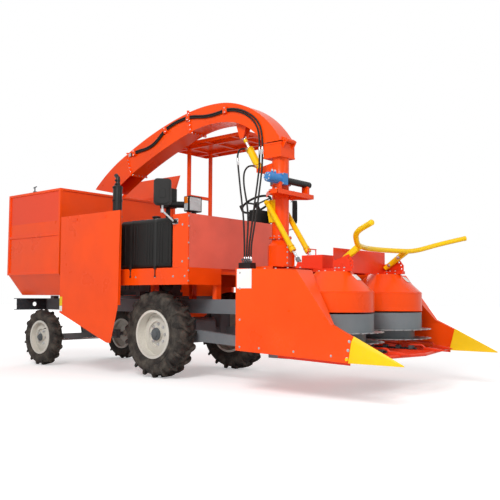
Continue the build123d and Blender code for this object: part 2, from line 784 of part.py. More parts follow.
# Chopper, its duct and the fixed column
with BuildPart() as chopper_housing:
    cx0, cx1 = fwd(CHOPPER_X[0]), fwd(CHOPPER_X[1])
    side_plate(
        (
            (cx0, CHOPPER_Z[0] + 160),
            (cx0, CHOPPER_Z[1]),
            (cx1, CHOPPER_Z[1]),
            (cx1, CHOPPER_Z[0]),
            (cx0 + 160, CHOPPER_Z[0]),
        ),
        (-CHOPPER_HALF, CHOPPER_HALF),
    )
    block(
        (cx0 + 170, cx1),
        (-CHOPPER_HALF + SHEET, CHOPPER_HALF - SHEET),
        (CHOPPER_Z[0] + SHEET, CHOPPER_Z[1] - SHEET),
        mode=Mode.SUBTRACT,
    )
    for side in (-1, 1):
        block((cx0, RAIL_FRONT), mirrored((CHOPPER_HALF, rail_out), side), (RAIL_TOP, RAIL_TOP + 12))
    column_x = fwd(COLUMN_X)
    with BuildSketch(Plane((column_x, 0, CHOPPER_Z[1] - 20))) as duct_hole:
        RegularPolygon(DUCT_WIDTH / 2 - SHEET, 8, rotation=22.5, major_radius=False)
    extrude(duct_hole.sketch, amount=40, mode=Mode.SUBTRACT)
    block(VALVE_X, (VALVE_Y[0], 20 - CHOPPER_HALF), (VALVE_Z[0] - 12, VALVE_Z[0]))
save(chopper_housing.part, "chopper_housing")

with BuildPart() as valve_block:
    block(VALVE_X, VALVE_Y, VALVE_Z)
    for place in VALVE_PORTS:
        upright(fwd(place), VALVE_PORT_Y, (VALVE_Z[1], VALVE_PORT_TOP), 13)
save(valve_block.part, "valve_block")

# Column: an eight-sided duct, a bolted flange and the round pipe
FLANGE_RADIUS = 125
FLANGE_THICKNESS_Z = 12
DUCT_TOP = COLUMN_FLANGE_Z - 90
with BuildPart() as column:
    pipe = COLUMN_DIAMETER / 2
    for inset, mode in ((0, Mode.ADD), (SHEET, Mode.SUBTRACT)):
        duct_radius = DUCT_WIDTH / 2 - inset
        with BuildSketch(Plane((column_x, 0, CHOPPER_Z[1]))) as duct_foot:
            RegularPolygon(duct_radius, 8, rotation=22.5, major_radius=False)
        extrude(duct_foot.sketch, amount=DUCT_TOP - CHOPPER_Z[1], mode=mode)
        with BuildSketch(Plane((column_x, 0, DUCT_TOP))) as duct_top:
            RegularPolygon(duct_radius, 8, rotation=22.5, major_radius=False)
        with BuildSketch(Plane((column_x, 0, COLUMN_FLANGE_Z - 40))) as duct_neck:
            RegularPolygon(pipe - inset, 8, rotation=22.5, major_radius=False)
        loft((duct_top.sketch, duct_neck.sketch), ruled=True, mode=mode)
        upright(column_x, 0, (COLUMN_FLANGE_Z - 40, SWIVEL_Z), pipe - inset, mode=mode)
    flange_zs = (COLUMN_FLANGE_Z - FLANGE_THICKNESS_Z, COLUMN_FLANGE_Z + FLANGE_THICKNESS_Z)
    upright(column_x, 0, flange_zs, FLANGE_RADIUS)
    upright(column_x, 0, flange_zs, pipe - SHEET, mode=Mode.SUBTRACT)
save(column.part, "column")

with BuildPart() as lift_bracket:
    lift_x, lift_z = fwd(LIFT_TOP[0]), LIFT_TOP[1]
    plate_ys = (COLUMN_DIAMETER / 2 - 12, COLUMN_DIAMETER / 2 + 4)
    for side in (-1, 1):
        side_plate(
            (
                (lift_x - 38, lift_z + 36),
                (column_x, lift_z + 36),
                (column_x, lift_z - 215),
                (lift_x - 8, lift_z - 215),
                (lift_x - 38, lift_z - 60),
            ),
            mirrored(plate_ys, side),
        )
        rod(
            (lift_x, side * plate_ys[1], lift_z),
            (lift_x, side * (LIFT_Y + 45), lift_z),
            LIFT_PIN,
        )
    upright(column_x, 0, (CHOPPER_Z[1], SWIVEL_Z), COLUMN_DIAMETER / 2, mode=Mode.SUBTRACT)
save(lift_bracket.part, "lift_bracket")

fan_top = SWIVEL_Z + FAN_THICKNESS


def worm_foot(y):
    """Limits of a foot that stands on the fan plate and carries the worm or its motor."""
    return (fwd(WORM_X) - 40, fwd(WORM_X) + 40), (y - 20, y + 20), (fan_top, WORM_Z - WORM_RADIUS + 8)


with BuildPart() as swivel_bracket:
    with BuildSketch(Plane.XY.offset(SWIVEL_Z)):
        with BuildLine():
            Polyline(
                (column_x - 110, -120),
                (column_x + 120, -330),
                (column_x + 215, -330),
                (column_x + 215, 340),
                (column_x + 120, 340),
                (column_x - 110, 120),
                close=True,
            )
        make_face()
    extrude(amount=FAN_THICKNESS)
    for y in (MOTOR_FOOT_Y, WORM_FOOT_Y):
        block(*worm_foot(y))
    for side in (-1, 1):
        cross_plate(
            (
                (side * 70, SWIVEL_Z),
                (side * 320, SWIVEL_Z),
                (side * 300, SWIVEL_Z - 25),
                (side * 92, SWIVEL_Z - 62),
                (side * 70, SWIVEL_Z - 62),
            ),
            (column_x + 78, column_x + 90),
        )
    upright(column_x, 0, (SWIVEL_Z - 200, SWIVEL_Z), COLUMN_DIAMETER / 2, mode=Mode.SUBTRACT)
    spigot = COLUMN_DIAMETER / 2 - SHEET - PIN_CLEARANCE
    upright(column_x, 0, (fan_top, fan_top + SPIGOT_HEIGHT), spigot)
    upright(column_x, 0, (SWIVEL_Z - 1, fan_top + SPIGOT_HEIGHT), spigot - SHEET, mode=Mode.SUBTRACT)
save(swivel_bracket.part, "swivel_bracket")

with BuildPart() as swivel_worm:
    rod((fwd(WORM_X), -150, WORM_Z), (fwd(WORM_X), 330, WORM_Z), 2 * WORM_RADIUS)
    block(*worm_foot(WORM_FOOT_Y), mode=Mode.SUBTRACT)
save(swivel_worm.part, "swivel_worm")

with BuildPart() as swivel_motor:
    rod((fwd(WORM_X), -430, WORM_Z), (fwd(WORM_X), -230, WORM_Z), 2 * MOTOR_RADIUS)
    block(
        (fwd(WORM_X) - 62, fwd(WORM_X) + 62),
        (-230, -150),
        (WORM_Z - 62, WORM_Z + 62),
    )
    block(*worm_foot(MOTOR_FOOT_Y), mode=Mode.SUBTRACT)
save(swivel_motor.part, "swivel_motor")

# Turret: the turning part of the column with its collar
with BuildPart() as turret:
    turret_z = fan_top + 1
    upright(column_x, 0, (turret_z, COLLAR_Z[0]), COLUMN_DIAMETER / 2)
    upright(column_x, 0, (WORM_Z - 30, WORM_Z + 30), RING_GEAR_RADIUS)
    block((fwd(COLLAR_X[0]), fwd(COLLAR_X[1])), (-SPOUT_HALF, SPOUT_HALF), COLLAR_Z)
    block(
        (fwd(COLLAR_X[0]) + SHEET, fwd(COLLAR_X[1]) - SHEET),
        (-SPOUT_HALF + SHEET, SPOUT_HALF - SHEET),
        (COLLAR_Z[0] + SHEET, COLLAR_Z[1]),
        mode=Mode.SUBTRACT,
    )
    upright(column_x, 0, (turret_z, COLLAR_Z[0] + SHEET), COLUMN_DIAMETER / 2 - SHEET, mode=Mode.SUBTRACT)
    for y in (-95, 75):
        side_plate(
            (
                (fwd(COLLAR_X[1]), COLLAR_Z[1] - 70),
                (fwd(COLLAR_X[1]), COLLAR_Z[1]),
                (fwd(SPOUT_PIVOT[0]) - 14, SPOUT_PIVOT[1] + 14),
                (fwd(SPOUT_PIVOT[0]) + 16, SPOUT_PIVOT[1] + 14),
                (fwd(SPOUT_PIVOT[0]) + 16, SPOUT_PIVOT[1] - 20),
            ),
            (y, y + 20),
        )
    rod((fwd(SPOUT_PIVOT[0]), -110, SPOUT_PIVOT[1]), (fwd(SPOUT_PIVOT[0]), 110, SPOUT_PIVOT[1]), SPOUT_PIN)
    foot_x, foot_z = fwd(TILT_FOOT[0]), TILT_FOOT[1]
    for y in (-52, 40):
        side_plate(
            (
                (column_x - 80, foot_z - 60),
                (column_x - 80, foot_z + 60),
                (foot_x - 20, foot_z + 22),
                (foot_x - 20, foot_z - 22),
            ),
            (y, y + 12),
        )
    upright(column_x, 0, (turret_z, COLLAR_Z[0]), COLUMN_DIAMETER / 2 - SHEET, mode=Mode.SUBTRACT)
    rod((foot_x, -52, foot_z), (foot_x, 52, foot_z), TILT_PIN)
save(turret.part, "turret")


def cylinder_barrel(plane_point, foot, eye, diameter, length, pin, ends):
    """A barrel that points from its foot pin to the far eye, with a bored foot."""
    tip = along(foot, eye, length)
    start = along(foot, eye, pin)
    for station in ends:
        rod(plane_point(*start, station), plane_point(*tip, station), diameter)
        half = 0.3 * diameter
        rod(plane_point(*foot, station - half), plane_point(*foot, station + half), 2.2 * pin)
        rod(
            plane_point(*foot, station - diameter),
            plane_point(*foot, station + diameter),
            pin + 2 * PIN_CLEARANCE,
            mode=Mode.SUBTRACT,
        )
        gland = along(foot, eye, length - 40)
        rod(plane_point(*gland, station), plane_point(*tip, station), 1.16 * diameter)


def cylinder_bore(plane_point, foot, eye, length, rod_diameter, depth, ends):
    """The hole in a barrel that its rod slides in."""
    for station in ends:
        deep = along(foot, eye, depth)
        tip = along(foot, eye, length)
        rod(
            plane_point(*deep, station),
            plane_point(*tip, station),
            rod_diameter + 2 * PIN_CLEARANCE,
            mode=Mode.SUBTRACT,
        )


def cylinder_rod(plane_point, foot, eye, diameter, depth, pin, ends):
    """A rod from deep in its barrel to an eye with the stubs of its pin."""
    for station in ends:
        deep = along(foot, eye, depth)
        rod(plane_point(*deep, station), plane_point(*eye, station), diameter)
        half = 0.4 * diameter
        rod(plane_point(*eye, station - half), plane_point(*eye, station + half), 2.2 * pin)
        stub = half + EYE_STUB
        rod(plane_point(*eye, station - stub), plane_point(*eye, station + stub), pin)


def in_xz(x, z, y):
    return (fwd(x), y, z)


def in_yz(y, z, x):
    return (fwd(x), y, z)


HydraulicCylinder = namedtuple(
    "HydraulicCylinder",
    "name plane foot eye barrel length rod pin stations rod_deep bore_deep ports",
)
CYLINDERS = (
    HydraulicCylinder(
        "lift", in_xz, LIFT_TOP, LIFT_FOOT, LIFT_BARREL, LIFT_BARREL_LENGTH,
        LIFT_ROD, LIFT_PIN, (-LIFT_Y, LIFT_Y), 300, 205, (),
    ),
    HydraulicCylinder(
        "tilt", in_xz, TILT_FOOT, TILT_EYE, TILT_BARREL, TILT_BARREL_LENGTH,
        TILT_ROD, TILT_PIN, (0,), 60, 45, (PORT_STATION, TILT_BARREL_LENGTH - 20),
    ),
    HydraulicCylinder(
        "tip", in_yz, TIP_FOOT, TIP_EYE, TIP_BARREL, TIP_BARREL_LENGTH,
        TIP_ROD, TIP_PIN, (TIP_X,), 55, 45, (),
    ),
)
for c in CYLINDERS:
    with BuildPart() as barrel:
        cylinder_barrel(c.plane, c.foot, c.eye, c.barrel, c.length, c.pin, c.stations)
        for distance in c.ports:
            port = along(c.foot, c.eye, distance)
            rod(c.plane(*port, 0), c.plane(*port, -PORT_REACH), PORT_DIAMETER)
        cylinder_bore(c.plane, c.foot, c.eye, c.length, c.rod, c.bore_deep, c.stations)
    save(barrel.part, f"{c.name}_barrel")
    with BuildPart() as piston:
        cylinder_rod(c.plane, c.foot, c.eye, c.rod, c.rod_deep, c.pin, c.stations)
    save(piston.part, f"{c.name}_rod")

# Spout: three lengths of duct along an arch
SPOUT_FRONT = dict(
    top=((1342, 2645), (978, 3030), (450, 3222), (190, 3230), (-100, 3200)),
    bottom=((1095, 2645), (870, 2855), (480, 2985), (220, 2990), (-60, 2950)),
)
SPOUT_MIDDLE = dict(
    top=((-100, 3200), (-700, 3048), (-1270, 2825)),
    bottom=((-60, 2950), (-610, 2776), (-1170, 2545)),
)
SPOUT_END = dict(
    top=((-1280, 2820), (-1620, 2650), (-1940, 2416)),
    bottom=((-1178, 2537), (-1390, 2425), (-1562, 2335)),
)


def duct_face(run, top_drop, bottom_lift):
    """The side face of a duct: arcs through its top and bottom points, closed by its two ends."""
    top = [(fwd(x), z - top_drop) for x, z in run["top"]]
    bottom = [(fwd(x), z + bottom_lift) for x, z in run["bottom"]]
    with BuildSketch(Plane.XZ) as face:
        with BuildLine():
            for edge in (top, bottom):
                for first in range(0, len(edge) - 2, 2):
                    ThreePointArc(edge[first], edge[first + 1], edge[first + 2])
            Line(top[0], bottom[0])
            Line(top[-1], bottom[-1])
        make_face()
    return face.sketch


def duct(run, bottom_lift):
    extrude(duct_face(run, 0, 0), amount=SPOUT_HALF, both=True)
    extrude(duct_face(run, SHEET, bottom_lift), amount=SPOUT_HALF - SHEET, both=True, mode=Mode.SUBTRACT)


with BuildPart() as spout_front:
    duct(SPOUT_FRONT, SHEET)
    pivot_x, pivot_z = fwd(SPOUT_PIVOT[0]), SPOUT_PIVOT[1]
    rod((pivot_x, -70, pivot_z), (pivot_x, 70, pivot_z), 44)
    side_plate(
        (
            (fwd(1335), 2664),
            (fwd(1300), 2704),
            (pivot_x + 8, pivot_z + 22),
            (pivot_x - 20, pivot_z),
        ),
        (-70, 70),
    )
    rod((pivot_x, -130, pivot_z), (pivot_x, 130, pivot_z), SPOUT_PIN + 2 * PIN_CLEARANCE, mode=Mode.SUBTRACT)
    eye_x, eye_z = fwd(TILT_EYE[0]), TILT_EYE[1]
    for y in (-45, 33):
        side_plate(
            (
                (fwd(610), 2962),
                (fwd(770), 2925),
                (eye_x + 26, eye_z - 10),
                (eye_x - 26, eye_z - 24),
            ),
            (y, y + 12),
        )
save(spout_front.part, "spout_front")

with BuildPart() as spout_middle:
    duct(SPOUT_MIDDLE, SHEET)
    hinge_x, hinge_z = fwd(DEFLECTOR_PIVOT[0]), DEFLECTOR_PIVOT[1]
    rod((hinge_x, -SPOUT_HALF, hinge_z), (hinge_x, SPOUT_HALF, hinge_z), 16)
    for y in (-SPOUT_HALF, -10, SPOUT_HALF - 20):
        side_plate(
            (
                (fwd(-1262), 2828),
                (fwd(-1230), 2845),
                (hinge_x + 6, hinge_z + 10),
                (hinge_x - 6, hinge_z - 4),
            ),
            (y, y + 20),
        )
save(spout_middle.part, "spout_middle")

with BuildPart() as spout_deflector:
    duct(SPOUT_END, -80)
    for y in (-80, 30):
        rod((hinge_x, y, hinge_z), (hinge_x, y + 50, hinge_z), 30)
        side_plate(
            (
                (fwd(-1284), 2817),
                (fwd(-1320), 2799),
                (hinge_x - 12, hinge_z),
                (hinge_x, hinge_z - 8),
            ),
            (y, y + 50),
        )
    rod(
        (hinge_x, -SPOUT_HALF - 5, hinge_z),
        (hinge_x, SPOUT_HALF + 5, hinge_z),
        16 + 2 * PIN_CLEARANCE,
        mode=Mode.SUBTRACT,
    )
save(spout_deflector.part, "spout_deflector")

# Header: back wall, deck, floor and the parts that they carry
GUARD_HALF = HEADER_HALF - 100
GUSSET_HOLES = ((2440, 1288), (2462, 1256), (2468, 1220))


def guard_x(y):
    """How far forward the guard bar lies at a distance from the middle of the header."""
    return GUARD_POINT - 0.2 * y


with BuildPart() as header_frame:
    hx = fwd(HEADER_REAR)
    inner = HEADER_HALF - 45
    block((hx, hx + SHEET), (-inner, inner), (HEADER_BOTTOM, HEADER_TOP))
    block((hx, hx + SHEET), (-THROAT_HALF, THROAT_HALF), THROAT_Z, mode=Mode.SUBTRACT)
    block((hx, fwd(DECK_FRONT)), (-DECK_HALF, DECK_HALF), (HEADER_TOP, HEADER_TOP + SHEET))
    block((hx, fwd(2000)), (-inner, inner), (HEADER_BOTTOM - SHEET, HEADER_BOTTOM))
    block((hx + SHEET, hx + 85), (-inner, inner), (HEADER_BOTTOM, HEADER_BOTTOM + 60))
    for side in (-1, 1):
        y = side * DRUM_Y
        block((hx + 60, fwd(DRUM_X)), (y - 60, y + 60), (HEADER_BOTTOM, GEARBOX_TOP - 8))
        upright(fwd(DRUM_X), y, (HEADER_BOTTOM - SHEET, GEARBOX_TOP), GEARBOX_RADIUS)
        upright(fwd(DRUM_X), y, (GEARBOX_TOP, DRUM_TOP - 40), DRUM_SHAFT / 2)
        for near, far in ((ARM_Y[0], -1), (ARM_Y[1], 1)):
            lug_in = near + far * MOVING_GAP
            side_plate(
                (
                    (hx, HEADER_PIVOT[1] + 110),
                    (hx, HEADER_BOTTOM - SHEET),
                    (fwd(HEADER_PIVOT[0]) + 10, HEADER_PIVOT[1] - 38),
                    (fwd(HEADER_PIVOT[0]) - 36, HEADER_PIVOT[1] - 14),
                    (fwd(HEADER_PIVOT[0]) - 36, HEADER_PIVOT[1] + 24),
                ),
                mirrored((lug_in, lug_in + far * LUG_THICKNESS), side),
            )
        for shift in (-32, 20):
            side_plate(
                (
                    (fwd(LIFT_FOOT[0]) - 60, HEADER_TOP + SHEET),
                    (fwd(LIFT_FOOT[0]) - 20, LIFT_FOOT[1] + 24),
                    (fwd(LIFT_FOOT[0]) + 24, LIFT_FOOT[1] + 24),
                    (fwd(LIFT_FOOT[0]) + 60, HEADER_TOP + SHEET),
                ),
                (side * LIFT_Y + shift, side * LIFT_Y + shift + 12),
            )
    rod(
        (fwd(HEADER_PIVOT[0]), -700, HEADER_PIVOT[1]),
        (fwd(HEADER_PIVOT[0]), 700, HEADER_PIVOT[1]),
        HEADER_PIN + 2 * PIN_CLEARANCE,
        mode=Mode.SUBTRACT,
    )
    for side in (-1, 1):
        y = side * DRUM_Y
        block((hx, fwd(BEAM_FRONT)), (y - 30, y + 30), (COVER_TOP, HEADER_TOP))
        side_plate(
            (
                (fwd(CARRIER_X), HEADER_TOP),
                (fwd(CARRIER_X), CARRIER_TOP - 130),
                (fwd(BEAM_FRONT) - 53, CARRIER_TOP - 70),
                (fwd(BEAM_FRONT), CARRIER_TOP - 140),
                (fwd(BEAM_FRONT), HEADER_TOP),
            ),
            (y - 6, y + 6),
        )
        for hole in GUSSET_HOLES:
            rod((fwd(hole[0]), y - 10, hole[1]), (fwd(hole[0]), y + 10, hole[1]), 18, mode=Mode.SUBTRACT)
        for bar_y in GUIDE_BARS:
            block(
                (fwd(1960), fwd(guard_x(bar_y))),
                mirrored((bar_y - 10, bar_y + 10), side),
                (HEADER_BOTTOM - SHEET - 30, HEADER_BOTTOM - SHEET),
            )
        rod(
            (fwd(guard_x(GUARD_HALF)), side * GUARD_HALF, GUARD_Z),
            (fwd(GUARD_POINT), 0, GUARD_Z),
            GUARD_DIAMETER,
        )
    with Locations((fwd(GUARD_POINT), 0, GUARD_Z)):
        Sphere(GUARD_DIAMETER / 2)
    block((fwd(CARRIER_X), fwd(CARRIER_X) + 8), (-DRUM_Y, DRUM_Y), (COVER_TOP, CARRIER_TOP))
    cross_plate(
        (
            (-230, HEADER_TOP + SHEET),
            (230, HEADER_TOP + SHEET),
            (190, 1352),
            (-230, 1352),
        ),
        (fwd(1700), fwd(1960)),
    )
    for y in (-200, -60):
        rod((fwd(1760), y, 1352), (fwd(1760), y, 1420), 12)
    rod((fwd(1760), -206, 1420), (fwd(1760), -54, 1420), 12)
save(header_frame.part, "header_frame")

DIVIDER_OUTLINE = (
    (HEADER_REAR + SHEET, HEADER_BOTTOM),
    (HEADER_REAR + SHEET, HEADER_TOP),
    HEADER_FRONT_TOP,
    HEADER_KNEE,
    HEADER_NOSE_TOP,
    HEADER_NOSE_BOTTOM,
)
inner_wall = [(HEADER_HALF - depth, z) for depth, z in DIVIDER_INNER]
crop_side = [(inner_wall[0][0], 300), *inner_wall, (inner_wall[-1][0], 1300), (700, 1300), (700, 300)]
with BuildPart() as dividers:
    for side in (-1, 1):
        with BuildPart(mode=Mode.PRIVATE) as divider:
            side_plate([(fwd(x), z) for x, z in DIVIDER_OUTLINE], mirrored((inner_wall[-1][0] - 10, HEADER_HALF), side))
            cross_plate(
                [(side * y, z) for y, z in crop_side],
                (fwd(HEADER_REAR) - 10, fwd(2900)),
                mode=Mode.SUBTRACT,
            )
            rear_face = divider.faces().sort_by(Axis.X)[0]
            offset(amount=-SHEET, openings=rear_face)
        add(divider.part)
save(dividers.part, "dividers")

with BuildPart() as divider_tips:
    nose_x, nose_z = fwd(HEADER_NOSE_TOP[0]), HEADER_NOSE_TOP[1]
    rise_x = HEADER_NOSE_TOP[0] - HEADER_NOSE_BOTTOM[0]
    rise_z = HEADER_NOSE_TOP[1] - HEADER_NOSE_BOTTOM[1]
    nose_height = sqrt(rise_x ** 2 + rise_z ** 2)
    nose = Plane((nose_x, 0, nose_z), x_dir=(0, 1, 0), z_dir=(rise_z, 0, -rise_x))
    tip = Plane((fwd(FRONT_REACH), 0, TIP_POINT_Z), x_dir=(0, 1, 0), z_dir=(1, 0, 0))
    for side in (-1, 1):
        for plane, outline in (
            (nose, ((0, -nose_height), (0, 0), (20, 8), (85, -nose_height))),
            (tip, ((36, -6), (36, 4), (40, 5), (46, -6))),
        ):
            with BuildSketch(plane):
                with BuildLine():
                    Polyline(*((side * (HEADER_HALF - depth), z) for depth, z in outline), close=True)
                make_face()
        loft(ruled=True)
save(divider_tips.part, "divider_tips")

with BuildPart() as drum_covers:
    for side in (-1, 1):
        y = side * DRUM_Y
        drum_axis = Axis((fwd(DRUM_X), y, 0), (0, 0, 1))
        with BuildSketch(Plane((fwd(DRUM_X), y, 0), x_dir=(1, 0, 0), z_dir=(0, -1, 0))) as section:
            with BuildLine():
                Polyline(
                    (0, COVER_TOP),
                    (COVER_TOP_RADIUS, COVER_TOP),
                    (DRUM_RADIUS, COVER_SHOULDER),
                    (DRUM_RADIUS, COVER_BOTTOM),
                    (DRUM_RADIUS - SHEET, COVER_BOTTOM),
                    (DRUM_RADIUS - SHEET, COVER_SHOULDER - SHEET / 2),
                    (COVER_TOP_RADIUS - SHEET, COVER_TOP - SHEET),
                    (0, COVER_TOP - SHEET),
                    close=True,
                )
            make_face()
        revolve(section.sketch, axis=drum_axis)
save(drum_covers.part, "drum_covers")

for side, hand in ((-1, "right"), (1, "left")):
    y = side * DRUM_Y
    drum_axis = Axis((fwd(DRUM_X), y, 0), (0, 0, 1))
    section = Plane((fwd(DRUM_X), y, 0), x_dir=(1, 0, 0), z_dir=(0, -1, 0))
    with BuildPart() as rotor:
        with BuildSketch(section):
            with BuildLine():
                Polyline(
                    (DRUM_SHAFT / 2 + PIN_CLEARANCE, DRUM_TOP),
                    (DRUM_RADIUS - 5, DRUM_TOP),
                    (DRUM_RADIUS - 5, UPPER_SAW_Z + SAW_THICKNESS),
                    (SAW_RADIUS - SAW_TOOTH, UPPER_SAW_Z + SAW_THICKNESS),
                    (SAW_RADIUS - SAW_TOOTH, UPPER_SAW_Z),
                    (DRUM_HUB_RADIUS, UPPER_SAW_Z),
                    (DRUM_HUB_RADIUS, LOWER_SAW_Z + SAW_THICKNESS),
                    (SAW_RADIUS - SAW_TOOTH, LOWER_SAW_Z + SAW_THICKNESS),
                    (SAW_RADIUS - SAW_TOOTH, LOWER_SAW_Z),
                    (DRUM_HUB_RADIUS - SHEET, LOWER_SAW_Z),
                    (DRUM_HUB_RADIUS - SHEET, UPPER_SAW_Z + SAW_THICKNESS),
                    (DRUM_RADIUS - 5 - SHEET, UPPER_SAW_Z + SAW_THICKNESS),
                    (DRUM_RADIUS - 5 - SHEET, DRUM_TOP - SHEET),
                    (DRUM_SHAFT, DRUM_TOP - SHEET),
                    (DRUM_SHAFT, LOWER_SAW_Z),
                    (DRUM_SHAFT / 2 + PIN_CLEARANCE, LOWER_SAW_Z),
                    close=True,
                )
            make_face()
        revolve(axis=drum_axis)
        for level in (LOWER_SAW_Z, UPPER_SAW_Z):
            with BuildSketch(Plane((fwd(DRUM_X), y, level))) as teeth:
                with PolarLocations(SAW_RADIUS - SAW_TOOTH / 2 - 2, SAW_TEETH):
                    Rectangle(SAW_TOOTH + 4, SAW_TOOTH)
            extrude(teeth.sketch, amount=SAW_THICKNESS)
    save(rotor.part, f"rotor_{hand}")

# Push bar over the drums, its arms and the plates that carry it
with BuildPart() as push_bar:
    points = [(fwd(x), -y, z) for x, y, z in BAR_POINTS]
    points += [(fwd(x), y, z) for x, y, z in reversed(BAR_POINTS)]
    with BuildLine() as bar_path:
        FilletPolyline(*points, radius=80)
    with BuildSketch(Plane(points[0], z_dir=Vector(*points[1]) - Vector(*points[0]))):
        Circle(BAR_DIAMETER / 2)
    sweep(path=bar_path.wires()[0])
    for side in (-1, 1):
        side_plate(
            (
                (fwd(CARRIER_X) + 8, HEADER_TOP + 45),
                (fwd(CARRIER_X) + 40, HEADER_TOP + 12),
                (fwd(2560), 1378),
                (fwd(2560), 1410),
                (fwd(2500), 1410),
            ),
            mirrored((DRUM_Y - 16, DRUM_Y - 6), side),
        )
save(push_bar.part, "push_bar")

skid_z = HEADER_BOTTOM - SHEET - 60
with BuildPart() as header_skids:
    for side in (-1, 1):
        block((fwd(1760), fwd(1990)), mirrored((760, 860), side), (skid_z, HEADER_BOTTOM - SHEET))
        block((fwd(1990), fwd(2700)), mirrored((780, 840), side), (skid_z, skid_z + 30))
save(header_skids.part, "header_skids")

# Tipping bin


def bin_section(inset, top):
    """The bin's cross-section, with its walls moved in by inset."""
    left = [(BIN_HALF - inset, top), (BIN_HALF - inset, BIN_KNEE_Z + inset / 2)]
    left += [(BIN_FLOOR_HALF - inset / 2, BIN_FLOOR + inset)]
    return left + [(-y, z) for y, z in reversed(left)]


with BuildPart() as bin_ribs:
    x0, x1 = fwd(BIN_X[0]), fwd(BIN_X[1])
    rib = BIN_RIB
    outer = BIN_HALF + rib
    for z in (BIN_KNEE_Z, 1690, BIN_TOP - 30):
        block((x0, x1), (-outer, outer), (z, z + 30))
    for x in (x0, x1 - 40):
        for side in (-1, 1):
            block((x, x + 40), mirrored((BIN_HALF - 30, outer), side), (BIN_KNEE_Z, BIN_TOP))
    block((x0, x1), (-150, -120), (BIN_KNEE_Z, BIN_TOP))
    cross_plate(bin_section(0, BIN_TOP + 10), (x0 + rib, x1 - rib), mode=Mode.SUBTRACT)

with BuildPart() as bin_body:
    bx0, bx1 = fwd(BIN_X[0]) + BIN_RIB, fwd(BIN_X[1]) - BIN_RIB
    cross_plate(bin_section(0, BIN_TOP), (bx0, bx1))
    cross_plate(bin_section(SHEET, BIN_TOP + 10), (bx0 + SHEET, bx1 - SHEET), mode=Mode.SUBTRACT)
    for place in BIN_HINGES:
        cross_plate(
            (
                (BIN_FLOOR_HALF - 60, BIN_FLOOR),
                (BIN_FLOOR_HALF, BIN_FLOOR),
                (BIN_FLOOR_HALF + 70, BIN_FLOOR + 80),
                (BIN_HINGE[0] + 26, BIN_HINGE[1]),
                (BIN_HINGE[0] + 8, BIN_HINGE[1] - 27),
                (BIN_HINGE[0] - 20, BIN_HINGE[1] - 22),
            ),
            (fwd(place) - HINGE_LUG / 2, fwd(place) + HINGE_LUG / 2),
        )
        rod(
            (fwd(place) - 20, *BIN_HINGE),
            (fwd(place) + 20, *BIN_HINGE),
            BIN_HINGE_PIN + 2 * PIN_CLEARANCE,
            mode=Mode.SUBTRACT,
        )
    for shift in (-40, 28):
        cross_plate(
            (
                (TIP_EYE[0] - 60, BIN_FLOOR),
                (TIP_EYE[0] - 26, TIP_EYE[1] - 24),
                (TIP_EYE[0] + 26, TIP_EYE[1] - 24),
                (TIP_EYE[0] + 60, BIN_FLOOR),
            ),
            (fwd(TIP_X) + shift, fwd(TIP_X) + shift + 12),
        )
    add(bin_ribs.part)
save(bin_body.part, "bin_body")

with BuildPart() as bin_lip:
    cross_plate(
        (
            (BIN_HALF - SHEET, BIN_TOP),
            (BIN_HALF, BIN_TOP),
            (BIN_HALF, LIP_FOLD_Z),
            (HALF_WIDTH, LIP_TOP),
            (HALF_WIDTH - SHEET, LIP_TOP),
            (BIN_HALF - SHEET, LIP_FOLD_Z),
        ),
        (fwd(BIN_X[0]), fwd(BIN_X[1])),
    )
    for place in (BIN_X[0], BIN_X[1] - SHEET):
        cross_plate(
            (
                (BIN_HALF - SHEET - 130, BIN_TOP),
                (BIN_HALF - SHEET, BIN_TOP),
                (BIN_HALF - SHEET, LIP_FOLD_Z),
                (HALF_WIDTH - SHEET, LIP_TOP),
            ),
            (fwd(place), fwd(place) + SHEET),
        )
save(bin_lip.part, "bin_lip")

# Hoses: each row is a hose, and its columns are the points of its path as distance forward, Y and Z


def hose(points):
    """A hose of straight runs joined by tangent arcs at the points between its ends."""
    path_points = [Vector(fwd(x), y, z) for x, y, z in points]
    radii = []
    for before, at, after in zip(path_points, path_points[1:], path_points[2:]):
        run_in = at - before
        run_out = after - at
        half_turn = radians(run_in.get_angle(run_out)) / 2
        radii.append(BEND_SHARE * min(run_in.length, run_out.length) / tan(half_turn))
    print("hose bend radii", [round(radius) for radius in radii])
    with BuildLine(mode=Mode.PRIVATE) as path:
        FilletPolyline(*path_points, radius=radii)
    across = Plane(path_points[0], z_dir=path_points[1] - path_points[0])
    with BuildSketch(across, mode=Mode.PRIVATE) as profile:
        Circle(HOSE_DIAMETER / 2)
    sweep(profile.sketch, path.wires()[0])


HOSE_DIAMETER = 20
BEND_SHARE = 0.45
HOSE_JOINT_Z = 2560
SPOUT_HOSE_Y = -(SPOUT_HALF + 16)
SPOUT_HOSES = (
    (
        (1095, HOSE_JOINT_Z), (1095, 2700), (1056, 2864), (954, 2981), (769, 3088), (560, 3133),
        (400, 3109), (200, 3103), (-33, 3145), (-200, 3139), (-384, 3101), (-509, 3050), (-608, 2974),
        (-706, 2902), (-843, 2856), (-1001, 2847), (-1104, 2833), (-1204, 2810),
    ),
    (
        (1053, HOSE_JOINT_Z), (1053, 2696), (1022, 2840), (934, 2957), (759, 3066), (560, 3111),
        (400, 3087), (200, 3081), (-37, 3123), (-200, 3117), (-376, 3079), (-497, 3030), (-592, 2956),
        (-694, 2882), (-837, 2834), (-999, 2825), (-1100, 2811), (-1200, 2788),
    ),
)
with BuildPart() as spout_hoses:
    for row in SPOUT_HOSES:
        hose([(x, SPOUT_HOSE_Y, z) for x, z in row])
save(spout_hoses.part, "spout_hoses")

